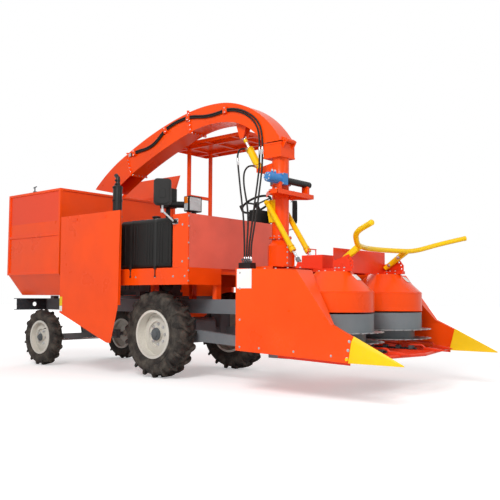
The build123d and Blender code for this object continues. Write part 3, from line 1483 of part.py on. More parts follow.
TILT_PORTS = [along(TILT_FOOT, TILT_EYE, distance) for distance in CYLINDERS[1].ports]
COLUMN_HOSES = (
    (
        (TILT_PORTS[1][0], -PORT_REACH, TILT_PORTS[1][1]), (TILT_PORTS[1][0], -160, TILT_PORTS[1][1]),
        (803, -235, 2545), (818, -240, 2420), (838, -242, 2280), (866, -250, 2120), (905, -266, 1960),
        (945, -286, 1790), (976, -310, 1620), (VALVE_PORTS[0], VALVE_PORT_Y, 1460),
        (VALVE_PORTS[0], VALVE_PORT_Y, VALVE_PORT_TOP),
    ),
    (
        (TILT_PORTS[0][0], -PORT_REACH, TILT_PORTS[0][1]), (TILT_PORTS[0][0], -164, TILT_PORTS[0][1]),
        (905, -236, 2333), (904, -241, 2205), (930, -244, 2080), (972, -254, 1940), (1005, -278, 1790),
        (1022, -302, 1630), (VALVE_PORTS[1], VALVE_PORT_Y, 1470),
        (VALVE_PORTS[1], VALVE_PORT_Y, VALVE_PORT_TOP),
    ),
    (
        (VALVE_PORTS[3], VALVE_PORT_Y, VALVE_PORT_TOP), (VALVE_PORTS[3], VALVE_PORT_Y, 1460),
        (1103, -305, 1620), (1108, -272, 1780), (1103, -232, 1940), (1093, -192, 2090), (1088, -158, 2240),
        (1095, SPOUT_HOSE_Y, 2400), (1095, SPOUT_HOSE_Y, HOSE_JOINT_Z),
    ),
    (
        (VALVE_PORTS[2], VALVE_PORT_Y, VALVE_PORT_TOP), (VALVE_PORTS[2], VALVE_PORT_Y, 1460),
        (1066, -302, 1620), (1064, -270, 1780), (1056, -230, 1940), (1047, -190, 2090), (1044, -157, 2240),
        (1053, SPOUT_HOSE_Y, 2400), (1053, SPOUT_HOSE_Y, HOSE_JOINT_Z),
    ),
)
with BuildPart() as column_hoses:
    for row in COLUMN_HOSES:
        hose(row)
save(column_hoses.part, "column_hoses")
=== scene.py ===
"""Looks of the forage harvester: finishes, fittings, hoses, floor, light and camera.

The scene is in metres. Places on the machine, and some of its sizes, are written in millimetres.
"""

from itertools import product
from math import cos, radians, sin, tau

import bmesh
import bpy
from mathutils import Matrix, Vector


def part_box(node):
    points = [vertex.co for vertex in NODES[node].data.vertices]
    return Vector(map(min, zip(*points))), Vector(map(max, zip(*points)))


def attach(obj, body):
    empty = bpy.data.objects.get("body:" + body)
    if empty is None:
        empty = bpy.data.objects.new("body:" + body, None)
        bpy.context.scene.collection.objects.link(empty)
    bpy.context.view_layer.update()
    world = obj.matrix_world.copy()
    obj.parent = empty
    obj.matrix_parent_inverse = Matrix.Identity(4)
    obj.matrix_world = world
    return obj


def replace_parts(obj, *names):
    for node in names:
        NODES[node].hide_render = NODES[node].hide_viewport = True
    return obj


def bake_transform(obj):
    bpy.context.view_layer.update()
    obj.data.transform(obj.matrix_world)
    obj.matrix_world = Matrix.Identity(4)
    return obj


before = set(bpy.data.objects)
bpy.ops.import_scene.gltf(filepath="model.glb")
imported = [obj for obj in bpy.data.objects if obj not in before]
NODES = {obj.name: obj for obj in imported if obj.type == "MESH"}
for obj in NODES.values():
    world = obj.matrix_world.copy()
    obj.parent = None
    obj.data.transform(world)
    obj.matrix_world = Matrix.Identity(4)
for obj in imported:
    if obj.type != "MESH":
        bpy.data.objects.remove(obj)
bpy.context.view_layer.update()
SIDES = ((-1, "right"), (1, "left"))

FRONT_AXLE_X = -0.245
UP = (0, 0, 1)
AHEAD = (1, 0, 0)
LEFT = (0, 1, 0)
RIGHT = (0, -1, 0)


def at(x, y, z):
    """A point given in millimetres, with X counted from the front axle."""
    return Vector((FRONT_AXLE_X + x / 1000, y / 1000, z / 1000))


# Finishes
DUST = (0.36, 0.31, 0.25, 1.0)
PAINT_SHINE = 0.22


def srgb(red, green, blue):
    """A colour given in 0 to 255 steps, as linear light."""

    def channel(value):
        value /= 255
        return value / 12.92 if value <= 0.04045 else ((value + 0.055) / 1.055) ** 2.4

    return (channel(red), channel(green), channel(blue), 1.0)


def shade(colour, factor):
    return tuple(min(1.0, c * factor) for c in colour[:3]) + (1.0,)


class Finish:
    """A node material under construction."""

    def __init__(self, name):
        self.material = bpy.data.materials.new(name)
        self.material.use_nodes = True
        self.tree = self.material.node_tree
        self.shader = self.tree.nodes["Principled BSDF"]
        self.place = self.node("ShaderNodeTexCoord").outputs["Object"]

    def node(self, kind):
        return self.tree.nodes.new(kind)

    def link(self, output, target):
        self.tree.links.new(output, target)

    def feed(self, name, output):
        """Leads a value or colour to an input of the shader."""
        self.link(output, self.shader.inputs[name])

    def noise(self, scale, detail=4, stretch=None):
        """A noise value; stretch gives a scale along each axis."""
        node = self.node("ShaderNodeTexNoise")
        node.inputs["Scale"].default_value = scale
        node.inputs["Detail"].default_value = detail
        place = self.place
        if stretch:
            mapping = self.node("ShaderNodeMapping")
            mapping.inputs["Scale"].default_value = stretch
            self.link(place, mapping.inputs["Vector"])
            place = mapping.outputs["Vector"]
        self.link(place, node.inputs["Vector"])
        return node.outputs["Fac"]

    def spread(self, value, low, high, to_low=0.0, to_high=1.0):
        """Maps low..high of a value to another range, held at its ends."""
        node = self.node("ShaderNodeMapRange")
        self.link(value, node.inputs["Value"])
        limits = {"From Min": low, "From Max": high, "To Min": to_low, "To Max": to_high}
        for name, number in limits.items():
            node.inputs[name].default_value = number
        return node.outputs["Result"]

    def combine(self, operation, first, second):
        node = self.node("ShaderNodeMath")
        node.operation = operation
        self.link(first, node.inputs[0])
        self.link(second, node.inputs[1])
        return node.outputs["Value"]

    def times(self, first, second):
        return self.combine("MULTIPLY", first, second)

    def mix(self, factor, first, second):
        """A colour between two; each is a colour or the output of a node."""
        node = self.node("ShaderNodeMix")
        node.data_type = "RGBA"
        self.link(factor, node.inputs["Factor"])
        for colour, socket in ((first, node.inputs[6]), (second, node.inputs[7])):
            if isinstance(colour, tuple):
                socket.default_value = colour
            else:
                self.link(colour, socket)
        return node.outputs[2]

    def low_down(self, top):
        """1 at the ground and 0 from the given height up."""
        split = self.node("ShaderNodeSeparateXYZ")
        self.link(self.place, split.inputs["Vector"])
        return self.spread(split.outputs["Z"], 0.0, top, 1.0, 0.0)

    def bump(self, height, strength, distance):
        node = self.node("ShaderNodeBump")
        node.inputs["Strength"].default_value = strength
        node.inputs["Distance"].default_value = distance
        self.link(height, node.inputs["Height"])
        self.link(node.outputs["Normal"], self.shader.inputs["Normal"])

    def set(self, **values):
        for name, value in values.items():
            self.shader.inputs[name.replace("_", " ")].default_value = value


def paint(name, colour, roughness=0.32, dust=0.22, coat=0.08):
    """Sprayed paint: faint patches, orange peel, and dust towards the ground."""
    finish = Finish(name)
    patches = finish.spread(finish.noise(2.2, 5), 0.35, 0.68)
    speckle = finish.spread(finish.noise(46, 6), 0.45, 0.75)
    dusty = finish.times(finish.low_down(1.3), finish.times(speckle, finish.spread(patches, 0, 1, 0, dust)))
    base = finish.mix(patches, shade(colour, 0.9), shade(colour, 1.06))
    finish.feed("Base Color", finish.mix(dusty, base, DUST))
    gloss = finish.combine("ADD", finish.spread(patches, 0, 1, roughness - 0.05, roughness + 0.07), dusty)
    finish.feed("Roughness", gloss)
    finish.bump(finish.noise(170, 2), 0.05, 0.0003)
    finish.set(Coat_Weight=coat, Coat_Roughness=0.12, Specular_IOR_Level=PAINT_SHINE)
    return finish.material


def metal(name, colour, roughness=0.28, stretch=(4, 4, 60)):
    """Bare or plated metal with drawn streaks."""
    finish = Finish(name)
    streaks = finish.noise(18, 6, stretch)
    finish.feed("Base Color", finish.mix(streaks, shade(colour, 0.8), colour))
    finish.feed("Roughness", finish.spread(streaks, 0.3, 0.7, roughness - 0.08, roughness + 0.1))
    finish.bump(streaks, 0.05, 0.0004)
    finish.set(Metallic=1.0)
    return finish.material


def plastic(name, colour, roughness=0.5, grain=260, strength=0.18):
    """Moulded plastic or rubber with a fine grain."""
    finish = Finish(name)
    patches = finish.spread(finish.noise(6, 4), 0.35, 0.7)
    finish.feed("Base Color", finish.mix(patches, shade(colour, 0.85), shade(colour, 1.25)))
    finish.feed("Roughness", finish.spread(patches, 0, 1, roughness - 0.06, roughness + 0.08))
    finish.bump(finish.noise(grain, 3), strength, 0.0008)
    finish.set(Specular_IOR_Level=0.25)
    return finish.material


def rubber(name, colour):
    """Tyre rubber with dried earth on it."""
    finish = Finish(name)
    earth = finish.spread(finish.noise(9, 8), 0.42, 0.72)
    fine = finish.spread(finish.noise(90, 5), 0.4, 0.7)
    worn = finish.mix(fine, shade(colour, 0.75), shade(colour, 1.3))
    finish.feed("Base Color", finish.mix(finish.spread(earth, 0, 1, 0, 0.26), worn, DUST))
    finish.feed("Roughness", finish.spread(earth, 0, 1, 0.68, 0.92))
    finish.bump(fine, 0.35, 0.002)
    finish.set(Specular_IOR_Level=0.2)
    return finish.material


def lens(name, colour, transmission):
    """A moulded lamp lens with fine flutes."""
    finish = Finish(name)
    flutes = finish.node("ShaderNodeTexWave")
    flutes.bands_direction = "Y"
    flutes.inputs["Scale"].default_value = 40
    finish.link(finish.place, flutes.inputs["Vector"])
    tone = finish.mix(flutes.outputs["Fac"], shade(colour, 0.82), colour)
    finish.feed("Base Color", tone)
    finish.bump(flutes.outputs["Fac"], 0.4, 0.002)
    finish.set(Roughness=0.08, Transmission_Weight=transmission, IOR=1.5)
    return finish.material


def perforated(name, colour):
    """Painted sheet perforated in rows of small openings, which are drawn as dark dots: painted shade seen
    through them.
    """
    finish = Finish(name)
    cells = finish.node("ShaderNodeTexVoronoi")
    cells.inputs["Scale"].default_value = 90
    cells.inputs["Randomness"].default_value = 0.0
    finish.link(finish.place, cells.inputs["Vector"])
    holes_painted_dark = finish.spread(cells.outputs["Distance"], 0.22, 0.3, 1.0, 0.0)
    # The openings are painted dark: painted shade seen through them.
    finish.feed("Base Color", finish.mix(holes_painted_dark, colour, shade(colour, 0.25)))
    finish.bump(holes_painted_dark, -0.3, 0.002)
    finish.set(Roughness=0.45)
    return finish.material


def mirror_glass(name):
    finish = Finish(name)
    tone = finish.mix(finish.noise(5, 3), (0.8, 0.84, 0.86, 1), (0.9, 0.92, 0.93, 1))
    finish.feed("Base Color", tone)
    finish.set(Metallic=1.0, Roughness=0.03)
    return finish.material


ORANGE = paint("orange_paint", srgb(255, 78, 4), dust=0.1)
# A paler, pinker copy of the orange paint for the front panel's front face: painted sheen of light glancing
# off it.
PAINTED_SHEEN_ORANGE = paint("orange_paint_painted_sheen", srgb(238, 108, 88), dust=0.1)
RED = paint("red_paint", srgb(238, 60, 24), dust=0.15)
YELLOW = paint("yellow_paint", srgb(247, 200, 12), dust=0.1)
GREY = paint("drum_grey_paint", srgb(118, 124, 128), roughness=0.4, dust=0.2, coat=0.1)
CHASSIS = paint("chassis_grey_paint", srgb(112, 116, 120), roughness=0.45, dust=0.4, coat=0.05)
BEAM = paint("beam_grey_paint", srgb(52, 57, 62), roughness=0.45, dust=0.3, coat=0.05)
BLACK = paint("black_paint", srgb(34, 34, 33), roughness=0.4, dust=0.12, coat=0.1)
BLUE = paint("blue_paint", srgb(62, 132, 196), roughness=0.35, dust=0.1)
CREAM = paint("cream_paint", srgb(214, 210, 200), roughness=0.42, dust=0.35, coat=0.1)
WHITE = paint("white_plate", srgb(236, 236, 232), roughness=0.45, dust=0.05, coat=0)
AMBER_PLATE = paint("yellow_plate", srgb(240, 205, 40), roughness=0.45, dust=0.05, coat=0)
RUBBER = rubber("tyre_rubber", srgb(50, 46, 43))
HOSE = plastic("hose_rubber", srgb(34, 33, 32), roughness=0.55, grain=420, strength=0.3)
PLASTIC = plastic("black_plastic", srgb(24, 23, 22), roughness=0.46)
VINYL = plastic("seat_vinyl", srgb(33, 33, 34), roughness=0.5, grain=520, strength=0.35)
IRON = plastic("cast_iron", srgb(86, 90, 92), roughness=0.6, grain=150, strength=0.4)
STEEL = metal("bright_steel", (0.66, 0.66, 0.67, 1))
CHROME = metal("chrome_rod", (0.82, 0.83, 0.84, 1), roughness=0.14)
SAW_STEEL = metal("saw_steel", (0.5, 0.5, 0.5, 1), roughness=0.38, stretch=(20, 20, 4))
CLEAR = lens("clear_lens", (0.86, 0.89, 0.9, 1), 0.55)
AMBER = lens("amber_lens", srgb(255, 128, 10), 0.3)
MIRROR = mirror_glass("mirror_glass")
MESH = perforated("perforated_orange", srgb(238, 64, 12))

# The slot of a piece in each finish
NODE_FINISH = {
    CHASSIS: "chassis_frame front_axle rear_axle header_arms engine_frame knuckle_right knuckle_left",
    BEAM: "rear_beam",
    IRON: "engine_block",
    ORANGE: "side_panels platform ladder canopy chopper_housing column swivel_bracket dividers drum_covers "
    "turret spout_front spout_middle spout_deflector bin_body bin_lip",
    # The front panel's front face: the paler copy of the orange, painted sheen.
    PAINTED_SHEEN_ORANGE: "front_panel",
    RED: "header_frame",
    YELLOW: "divider_tips push_bar lift_bracket lift_barrel tilt_barrel tip_barrel",
    GREY: "rotor_right rotor_left header_skids",
    BLACK: "exhaust swivel_worm valve_block",
    HOSE: "column_hoses spout_hoses",
    PLASTIC: "air_cleaner fuel_tank console steering_wheel mirrors headlamps seat",
    BLUE: "swivel_motor",
    CHROME: "lift_rod tilt_rod tip_rod tie_rod",
    CREAM: "rim_front_right rim_front_left rim_rear_right rim_rear_left",
    RUBBER: "tyre_front_right tyre_front_left tyre_rear_right tyre_rear_left",
}
EDGE_ROUND = 0.0025
ROUND_EDGES = ("rim", "tyre", "column", "spout")


def round_edges(obj, width, angle):
    rounding = obj.modifiers.new("edges", "BEVEL")
    rounding.width = width
    rounding.segments = 2
    rounding.limit_method = "ANGLE"
    rounding.angle_limit = radians(angle)
    return rounding


def dress_nodes():
    """Gives each solid its finish, and lightly rounded edges where it is made of flat plates."""
    for finish, names in NODE_FINISH.items():
        for name in names.split():
            node = NODES[name]
            node.data.materials.clear()
            node.data.materials.append(finish)
            if name.split("_")[0] in ROUND_EDGES or name in ("drum_covers", "rotor_right", "rotor_left"):
                continue
            weld = node.modifiers.new("weld", "WELD")
            weld.merge_threshold = 0.0001
            round_edges(node, EDGE_ROUND, 40).harden_normals = True


# Mesh pieces
def facing(point, normal, right=None):
    """A placing matrix whose local Z is along normal, and local X near right."""
    z = Vector(normal).normalized()
    x = Vector(right) if right else (Vector(UP) if abs(z.z) < 0.9 else Vector(AHEAD))
    y = z.cross(x).normalized()
    x = y.cross(z)
    matrix = Matrix((x, y, z)).transposed().to_4x4()
    matrix.translation = Vector(point)
    return matrix


class Form:
    """Faces gathered from simple shapes, made into one piece at the end."""

    def __init__(self):
        self.verts = []
        self.faces = []

    def add(self, verts, faces, place=None):
        start = len(self.verts)
        self.verts += [tuple(place @ Vector(v)) if place else tuple(v) for v in verts]
        self.faces += [tuple(start + i for i in face) for face in faces]
        return self

    def box(self, xs, ys, zs, place=None):
        verts = [(x, y, z) for x in xs for y in ys for z in zs]
        faces = [(0, 1, 3, 2), (4, 6, 7, 5), (0, 4, 5, 1), (2, 3, 7, 6), (0, 2, 6, 4), (1, 5, 7, 3)]
        return self.add(verts, faces, place)

    def block(self, xs, ys, zs):
        """A box between limits in millimetres, with X counted from the front axle."""
        low, high = (at(*corner) for corner in zip(xs, ys, zs))
        return self.box(*zip(low, high))

    def lathe(self, profile, place, steps=32, closed=False):
        """Turns (radius, height) points about local Z; a closed profile is a ring, others are capped."""
        count = len(profile)
        verts = [
            (radius * cos(tau * k / steps), radius * sin(tau * k / steps), height)
            for k in range(steps)
            for radius, height in profile
        ]
        faces = []
        rows = count if closed else count - 1
        for k in range(steps):
            following = (k + 1) % steps
            for i in range(rows):
                j = (i + 1) % count
                faces.append((k * count + i, following * count + i, following * count + j, k * count + j))
        if not closed:
            faces.append(tuple(k * count for k in reversed(range(steps))))
            faces.append(tuple(k * count + count - 1 for k in range(steps)))
        return self.add(verts, faces, place)

    def band(self, place, foot, top, steps=28):
        """A ring about local Z; foot and top are its inner and outer radius with the half width there."""
        profile = [(foot[0], -foot[1]), (top[0], -top[1]), top, foot]
        return self.lathe(profile, place, steps, closed=True)

    def bar(self, start, end, radius, steps=12):
        length = (Vector(end) - Vector(start)).length
        place = facing(start, Vector(end) - Vector(start))
        return self.lathe([(radius, 0), (radius, length)], place, steps)

    def bolt(self, point, normal, size=0.012):
        """A washer and a hexagon head with a chamfered top; size is half the width across corners."""
        place = facing(point, normal)
        self.lathe([(1.5 * size, 0), (1.5 * size, 0.25 * size)], place, 14)
        return self.lathe([(size, 0.2 * size), (size, 0.95 * size), (0.8 * size, 1.15 * size)], place, 6)

    def bolts(self, xs, ys, zs, normal, size):
        """Bolts at each combination of places in millimetres; each of the three is one number or a row."""
        rows = [row if isinstance(row, tuple) else (row,) for row in (xs, ys, zs)]
        for point in product(*rows):
            self.bolt(at(*point), normal, size)
        return self

    def prism(self, outline, depth, place):
        """A polygon of (x, y) points, extruded along local Z."""
        count = len(outline)
        verts = [(x, y, 0) for x, y in outline] + [(x, y, depth) for x, y in outline]
        faces = [tuple(reversed(range(count))), tuple(range(count, 2 * count))]
        faces += [(i, (i + 1) % count, count + (i + 1) % count, count + i) for i in range(count)]
        return self.add(verts, faces, place)

    def tube(self, path, radius, steps=18):
        """A round bar along a path of points."""
        sections = []
        across = Vector((0.3, 0.5, 0.8))
        for k, point in enumerate(path):
            ahead = (path[min(k + 1, len(path) - 1)] - path[max(k - 1, 0)]).normalized()
            across = (across - ahead * across.dot(ahead)).normalized()
            up = ahead.cross(across)
            turns = [tau * i / steps for i in range(steps)]
            sections.append([point + radius * (cos(t) * across + sin(t) * up) for t in turns])
        return self.strip(sections)

    def strip(self, sections, closed=False):
        """Skins a row of equal loops of points, capped at both ends unless the row is closed."""
        count = len(sections[0])
        verts = [point for section in sections for point in section]
        faces = []
        rows = len(sections) if closed else len(sections) - 1
        for k in range(rows):
            a, b = k * count, ((k + 1) % len(sections)) * count
            faces += [(a + i, a + (i + 1) % count, b + (i + 1) % count, b + i) for i in range(count)]
        if not closed:
            faces += [tuple(reversed(range(count))), tuple(range(len(verts) - count, len(verts)))]
        return self.add(verts, faces)

    def make(self, name, finish, body="machine", bevel=0.0, smooth=40, slot=None):
        """Turns what was gathered into one piece, which rides on a body if one is named."""
        mesh = bpy.data.meshes.new(name)
        mesh.from_pydata(self.verts, [], self.faces)
        mesh.validate()
        shape = bmesh.new()
        shape.from_mesh(mesh)
        bmesh.ops.recalc_face_normals(shape, faces=shape.faces)
        shape.to_mesh(mesh)
        shape.free()
        obj = bpy.data.objects.new(name, mesh)
        bpy.context.scene.collection.objects.link(obj)
        mesh.materials.append(finish)
        if bevel:
            round_edges(obj, bevel, 35)
        if smooth:
            mesh.set_sharp_from_angle(angle=radians(smooth))
            mesh.shade_smooth()
        if body:
            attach(obj, body)
        return obj


# Wheels: tyres with curved lugs, and studs and hubs on the rims
WHEELS = {
    "front": dict(radius=0.4925, width=0.28, rim=0.275, half=0.122, lugs=18, lug=0.034, lean=0.036,
                  thick=0.034, disc=0.02, hub=0.075, studs=8, circle=0.115),
    "rear": dict(radius=0.3725, width=0.165, rim=0.222, half=0.066, lugs=16, lug=0.024, lean=0.022,
                 thick=0.026, disc=0.01, hub=0.05, studs=5, circle=0.085),
}
# Along a lug from the tyre's middle, as shares of its half width: how far the top and the root lie lower
LUG_STATIONS = (
    (-0.012, 0.0, 0.0), (0.3, 0.0, 0.0), (0.62, 0.002, 0.001),
    (0.86, 0.012, 0.006), (0.97, 0.038, 0.03), (0.99, 0.07, 0.062),
)


def middle_of(node):
    low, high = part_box(node)
    return Vector((low[0] + high[0], low[1] + high[1], low[2] + high[2])) / 2


def make_tyre(end, side, hand):
    """A round carcass with a bulged sidewall, and two rows of swept lugs that wrap over its shoulders."""
    wheel = WHEELS[end]
    node = f"tyre_{end}_{hand}"
    centre = middle_of(node)
    place = facing(centre, (0, side, 0), AHEAD)
    carcass = wheel["radius"] - wheel["lug"]
    half = wheel["width"] / 2
    bead = wheel["rim"] + 0.002
    section = [
        (bead, -wheel["half"] + 0.008),
        (bead + 0.02, -half * 0.9),
        (bead + 0.42 * (carcass - bead), -half * 0.985),
        (bead + 0.72 * (carcass - bead), -half * 0.95),
        (carcass - 0.018, -half * 0.82),
        (carcass - 0.004, -half * 0.6),
        (carcass, -half * 0.25),
    ]
    section += [(radius, -height) for radius, height in reversed(section)]
    section += [(bead - 0.012, wheel["half"] - 0.012), (bead - 0.012, -wheel["half"] + 0.012)]
    form = Form().lathe(section, place, 72, closed=True)
    for ring in (0.3, 0.5):
        radius = bead + ring * (carcass - bead)
        for face in (-1, 1):
            foot = face * half * 0.94
            crest = (radius, face * (half - 0.001))
            form.lathe([(radius - 0.004, foot), crest, (radius + 0.004, foot)], place, 72, closed=True)
    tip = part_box(node)[1][2] - centre.z
    wide, narrow = (share * wheel["thick"] / carcass for share in (0.62, 0.42))
    for row in (-1, 1):
        for k in range(wheel["lugs"]):
            middle = tau * (k + (0.5 if row > 0 else 0)) / wheel["lugs"]
            sections = []
            for along, drop, root_drop in LUG_STATIONS:
                swing = side * (wheel["lean"] - 2 * wheel["lean"] * max(0, along)) / carcass
                axial = row * along * half
                root = carcass - 0.012 - root_drop
                top = tip - drop
                sections.append([
                    (r * cos(middle + swing + turn), r * sin(middle + swing + turn), axial)
                    for r, turn in ((root, -wide), (top, -narrow), (top, narrow), (root, wide))
                ])
            lug = Form().strip(sections)
            form.add(lug.verts, lug.faces, place)
    tyre = form.make(f"{end}_{hand}_tyre", RUBBER, f"wheel_{end}_{hand}", smooth=38)
    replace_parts(tyre, node)


def make_wheel_fittings(end, side, hand):
    """Wheel nuts with their studs, the hub cap and the valve."""
    wheel = WHEELS[end]
    body = f"wheel_{end}_{hand}"
    centre = middle_of(f"rim_{end}_{hand}")
    face = centre + Vector((0, side * (wheel["disc"] + 0.002), 0))
    nuts = Form()
    for k in range(wheel["studs"]):
        turn = tau * k / wheel["studs"]
        spot = face + Vector((wheel["circle"] * cos(turn), 0, wheel["circle"] * sin(turn)))
        nuts.bolt(spot, (0, side, 0), 0.013)
        nuts.bar(spot, spot + Vector((0, side * 0.03, 0)), 0.006, 8)
    nuts.make(f"{end}_{hand}_wheel_nuts", STEEL, body)
    hub = wheel["hub"]
    top = 0.037 + wheel["disc"]
    profile = ((0.98, 0), (0.95, 0.012), (0.6, 0.02), (0.55, 0.034), (0.35, 0.04))
    profile = [(hub * share, top + rise) for share, rise in profile]
    cap = Form().lathe(profile, facing(centre, (0, side, 0)), 40)
    for k in range(6):
        turn = tau * (k + 0.5) / 6
        spot = centre + Vector((hub * 0.78 * cos(turn), side * (top + 0.015), hub * 0.78 * sin(turn)))
        cap.bolt(spot, (0, side, 0), 0.006)
    cap.make(f"{end}_{hand}_hub_cap", IRON, body)
    radius = wheel["rim"] - 0.045
    foot = centre + Vector((radius * 0.7, side * 0.03, radius * 0.7))
    valve = Form().bar(foot, foot + Vector((-0.012, side * 0.05, -0.012)), 0.005, 10)
    valve.make(f"{end}_{hand}_valve", HOSE, body, slot="tyre")


# Fittings of the machine. Points are in millimetres, X from the front axle, as in the part's source
SAW_LEVELS = ((496, 502), (590, 596))
DRUM_X = 2270
DRUM_Y = 494
DRUM_RADIUS = 380


def paint_faces(name, finish, chosen):
    """A second finish on the faces of a solid that chosen() picks by their middle and normal."""
    node = NODES[name]
    node.data.materials.append(finish)
    for face in node.data.polygons:
        face.material_index = int(chosen(node.matrix_world @ face.center, face.normal))


def paint_second_finishes():
    """Bare saws on the drums, plain orange on the front panel's sides beside its paler front face, which is
    painted sheen, and galvanised mirror arms.
    """
    for side, hand in SIDES:
        axis = at(DRUM_X, side * DRUM_Y, 0)

        def is_saw(spot, normal):
            near = any(low / 1000 - 0.0005 <= spot.z <= high / 1000 + 0.0005 for low, high in SAW_LEVELS)
            return near and (spot.xy - axis.xy).length > DRUM_RADIUS / 1000 - 0.002

        paint_faces(f"rotor_{hand}", SAW_STEEL, is_saw)
    # Plain orange on the panel's sides; its front face keeps the paler copy of the orange, painted sheen.
    paint_faces("front_panel", ORANGE, lambda spot, normal: abs(normal.y) > 0.7)

    def is_mirror_arm(spot, normal):
        return abs(spot.y) > 0.892 and spot.z < (1.9 if spot.y < 0 else 1.85)

    paint_faces("mirrors", STEEL, is_mirror_arm)


def rounded(width, height, radius, steps=5):
    """The outline of a rectangle with round corners, about its middle."""
    points = []
    for k, (sx, sy) in enumerate(((1, 1), (-1, 1), (-1, -1), (1, -1))):
        for step in range(steps + 1):
            turn = tau / 4 * (k + step / steps)
            points.append((
                sx * (width / 2 - radius) + radius * cos(turn),
                sy * (height / 2 - radius) + radius * sin(turn),
            ))
    return points


def ribbon(form, path, across, thickness):
    """A flat band along a path; across is its half width as a vector."""
    sections = []
    for k, point in enumerate(path):
        ahead = (path[min(k + 1, len(path) - 1)] - path[max(k - 1, 0)]).normalized()
        out = across.normalized().cross(ahead) * thickness
        sections.append([point - across, point + across, point + across + out, point - across + out])
    return form.strip(sections)


def rounded_path(points, reach, steps=8):
    """A path with its corners rounded; a bend starts at reach from its corner."""
    path = [points[0]]
    for before, corner, after in zip(points, points[1:], points[2:]):
        start = corner + (before - corner).normalized() * reach
        end = corner + (after - corner).normalized() * reach
        for k in range(steps + 1):
            share = k / steps
            path.append(start.lerp(corner, share).lerp(corner.lerp(end, share), share))
    return [*path, points[-1]]


# How far across a pad, and how far its section is drawn in there
PAD_BULGE = (
    (0, 0.16), (0.03, 0.04), (0.12, 0), (0.3, 0.02), (0.5, 0.045),
    (0.7, 0.02), (0.88, 0), (0.97, 0.04), (1, 0.16),
)


def make_seat():
    """Two cushions with rounded edges, drawn in at both ends and a little in the middle."""
    pads = (
        ("seat_cushion", ((-190, 1518), (146, 1512), (160, 1597), (-178, 1580)), 0.72),
        ("seat_back", ((-298, 1514), (-204, 1540), (-200, 1600), (-262, 1866), (-336, 1866)), 0.66),
    )
    y0, y1 = 354, 786
    for name, outline, fill in pads:
        corners = [Vector(corner) for corner in outline]
        middle = sum(corners, Vector((0, 0))) / len(corners)
        sections = []
        for share, inset in PAD_BULGE:
            spots = [corner.lerp(middle, inset) for corner in corners]
            sections.append([at(spot.x, y0 + share * (y1 - y0), spot.y) for spot in spots])
        pad = Form().strip(sections).make(name, VINYL, bevel=0.022, smooth=60)
        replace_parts(pad, "seat")


def make_lamps():
    """Bezels, reflectors with fluted lenses, and amber and clear side lenses."""
    bezel, clear, amber, bright = Form(), Form(), Form(), Form()
    for side in (-1, 1):
        middle = side * 740
        for y in (middle - 97, middle + 87):
            bezel.block((632, 644), (y, y + 10), (1845, 2009))
        for z in (1845, 1999):
            bezel.block((632, 644), (middle - 97, middle + 97), (z, z + 10))
        bright.block((635, 636), (middle - 87, middle + 87), (1855, 1999))
        for y in (middle - 42, middle + 42):
            place = facing(at(636, y, 1927), AHEAD)
            bright.lathe([(0.04, 0), (0.037, 0.0035), (0.02, 0.001), (0.008, 0.0045)], place, 28)
        clear.block((640.5, 642.5), (middle - 88, middle + 88), (1854, 2000))
        flank = (side * 840, side * 848)
        amber.block((578, 628), flank, (1930, 2002))
        clear.block((578, 628), flank, (1852, 1926))
        bezel.bolts(617, (middle - 30, middle + 30), 1822, UP, 0.009)
    bezel.make("lamp_bezels", PLASTIC, bevel=0.002)
    bright.make("lamp_reflectors", CHROME)
    clear.make("lamp_clear_lenses", CLEAR, bevel=0.002)
    amber.make("lamp_amber_lenses", AMBER, bevel=0.004)


MIRRORS = (
    # head, direction of the glass, foot
    ((410, -1011.6, 2050), (-0.7071, 0.7071, 0), (450, -850, 1740)),
    ((700, 981.6, 2000), (-0.7071, -0.7071, 0), (600, 850, 1740)),
)


def make_mirrors():
    """Glass panes, moulded backs, clamps and foot plates."""
    pane, back, clamps = Form(), Form(), Form()
    for head, glass, foot in MIRRORS:
        out = Vector(glass)
        centre = at(*head)
        across = Vector(UP).cross(out)
        pane.prism(rounded(0.164, 0.262, 0.03), 0.003, facing(centre + out * 0.0295, out, across))
        back.prism(rounded(0.15, 0.25, 0.035), 0.006, facing(centre - out * 0.0295, -out, across))
        boss = centre - out * 0.035 - Vector((0, 0, 0.02))
        back.prism(rounded(0.07, 0.1, 0.02), 0.004, facing(boss, -out, across))
        below = centre - Vector((0, 0, 0.205))
        clamps.lathe([(0.019, -0.02), (0.019, 0.02)], facing(below, UP), 16)
        side = 1 if foot[1] > 0 else -1
        plate = at(foot[0], foot[1] + side * 0.5, foot[2])
        clamps.prism(rounded(0.09, 0.06, 0.012), 0.005, facing(plate, (0, side, 0), AHEAD))
        for shift in (-0.033, 0.033):
            clamps.bolt(plate + Vector((shift, side * 0.005, 0)), (0, side, 0), 0.007)
    pane.make("mirror_glass", MIRROR)
    back.make("mirror_backs", PLASTIC, bevel=0.0025)
    clamps.make("mirror_clamps", STEEL, bevel=0.001)


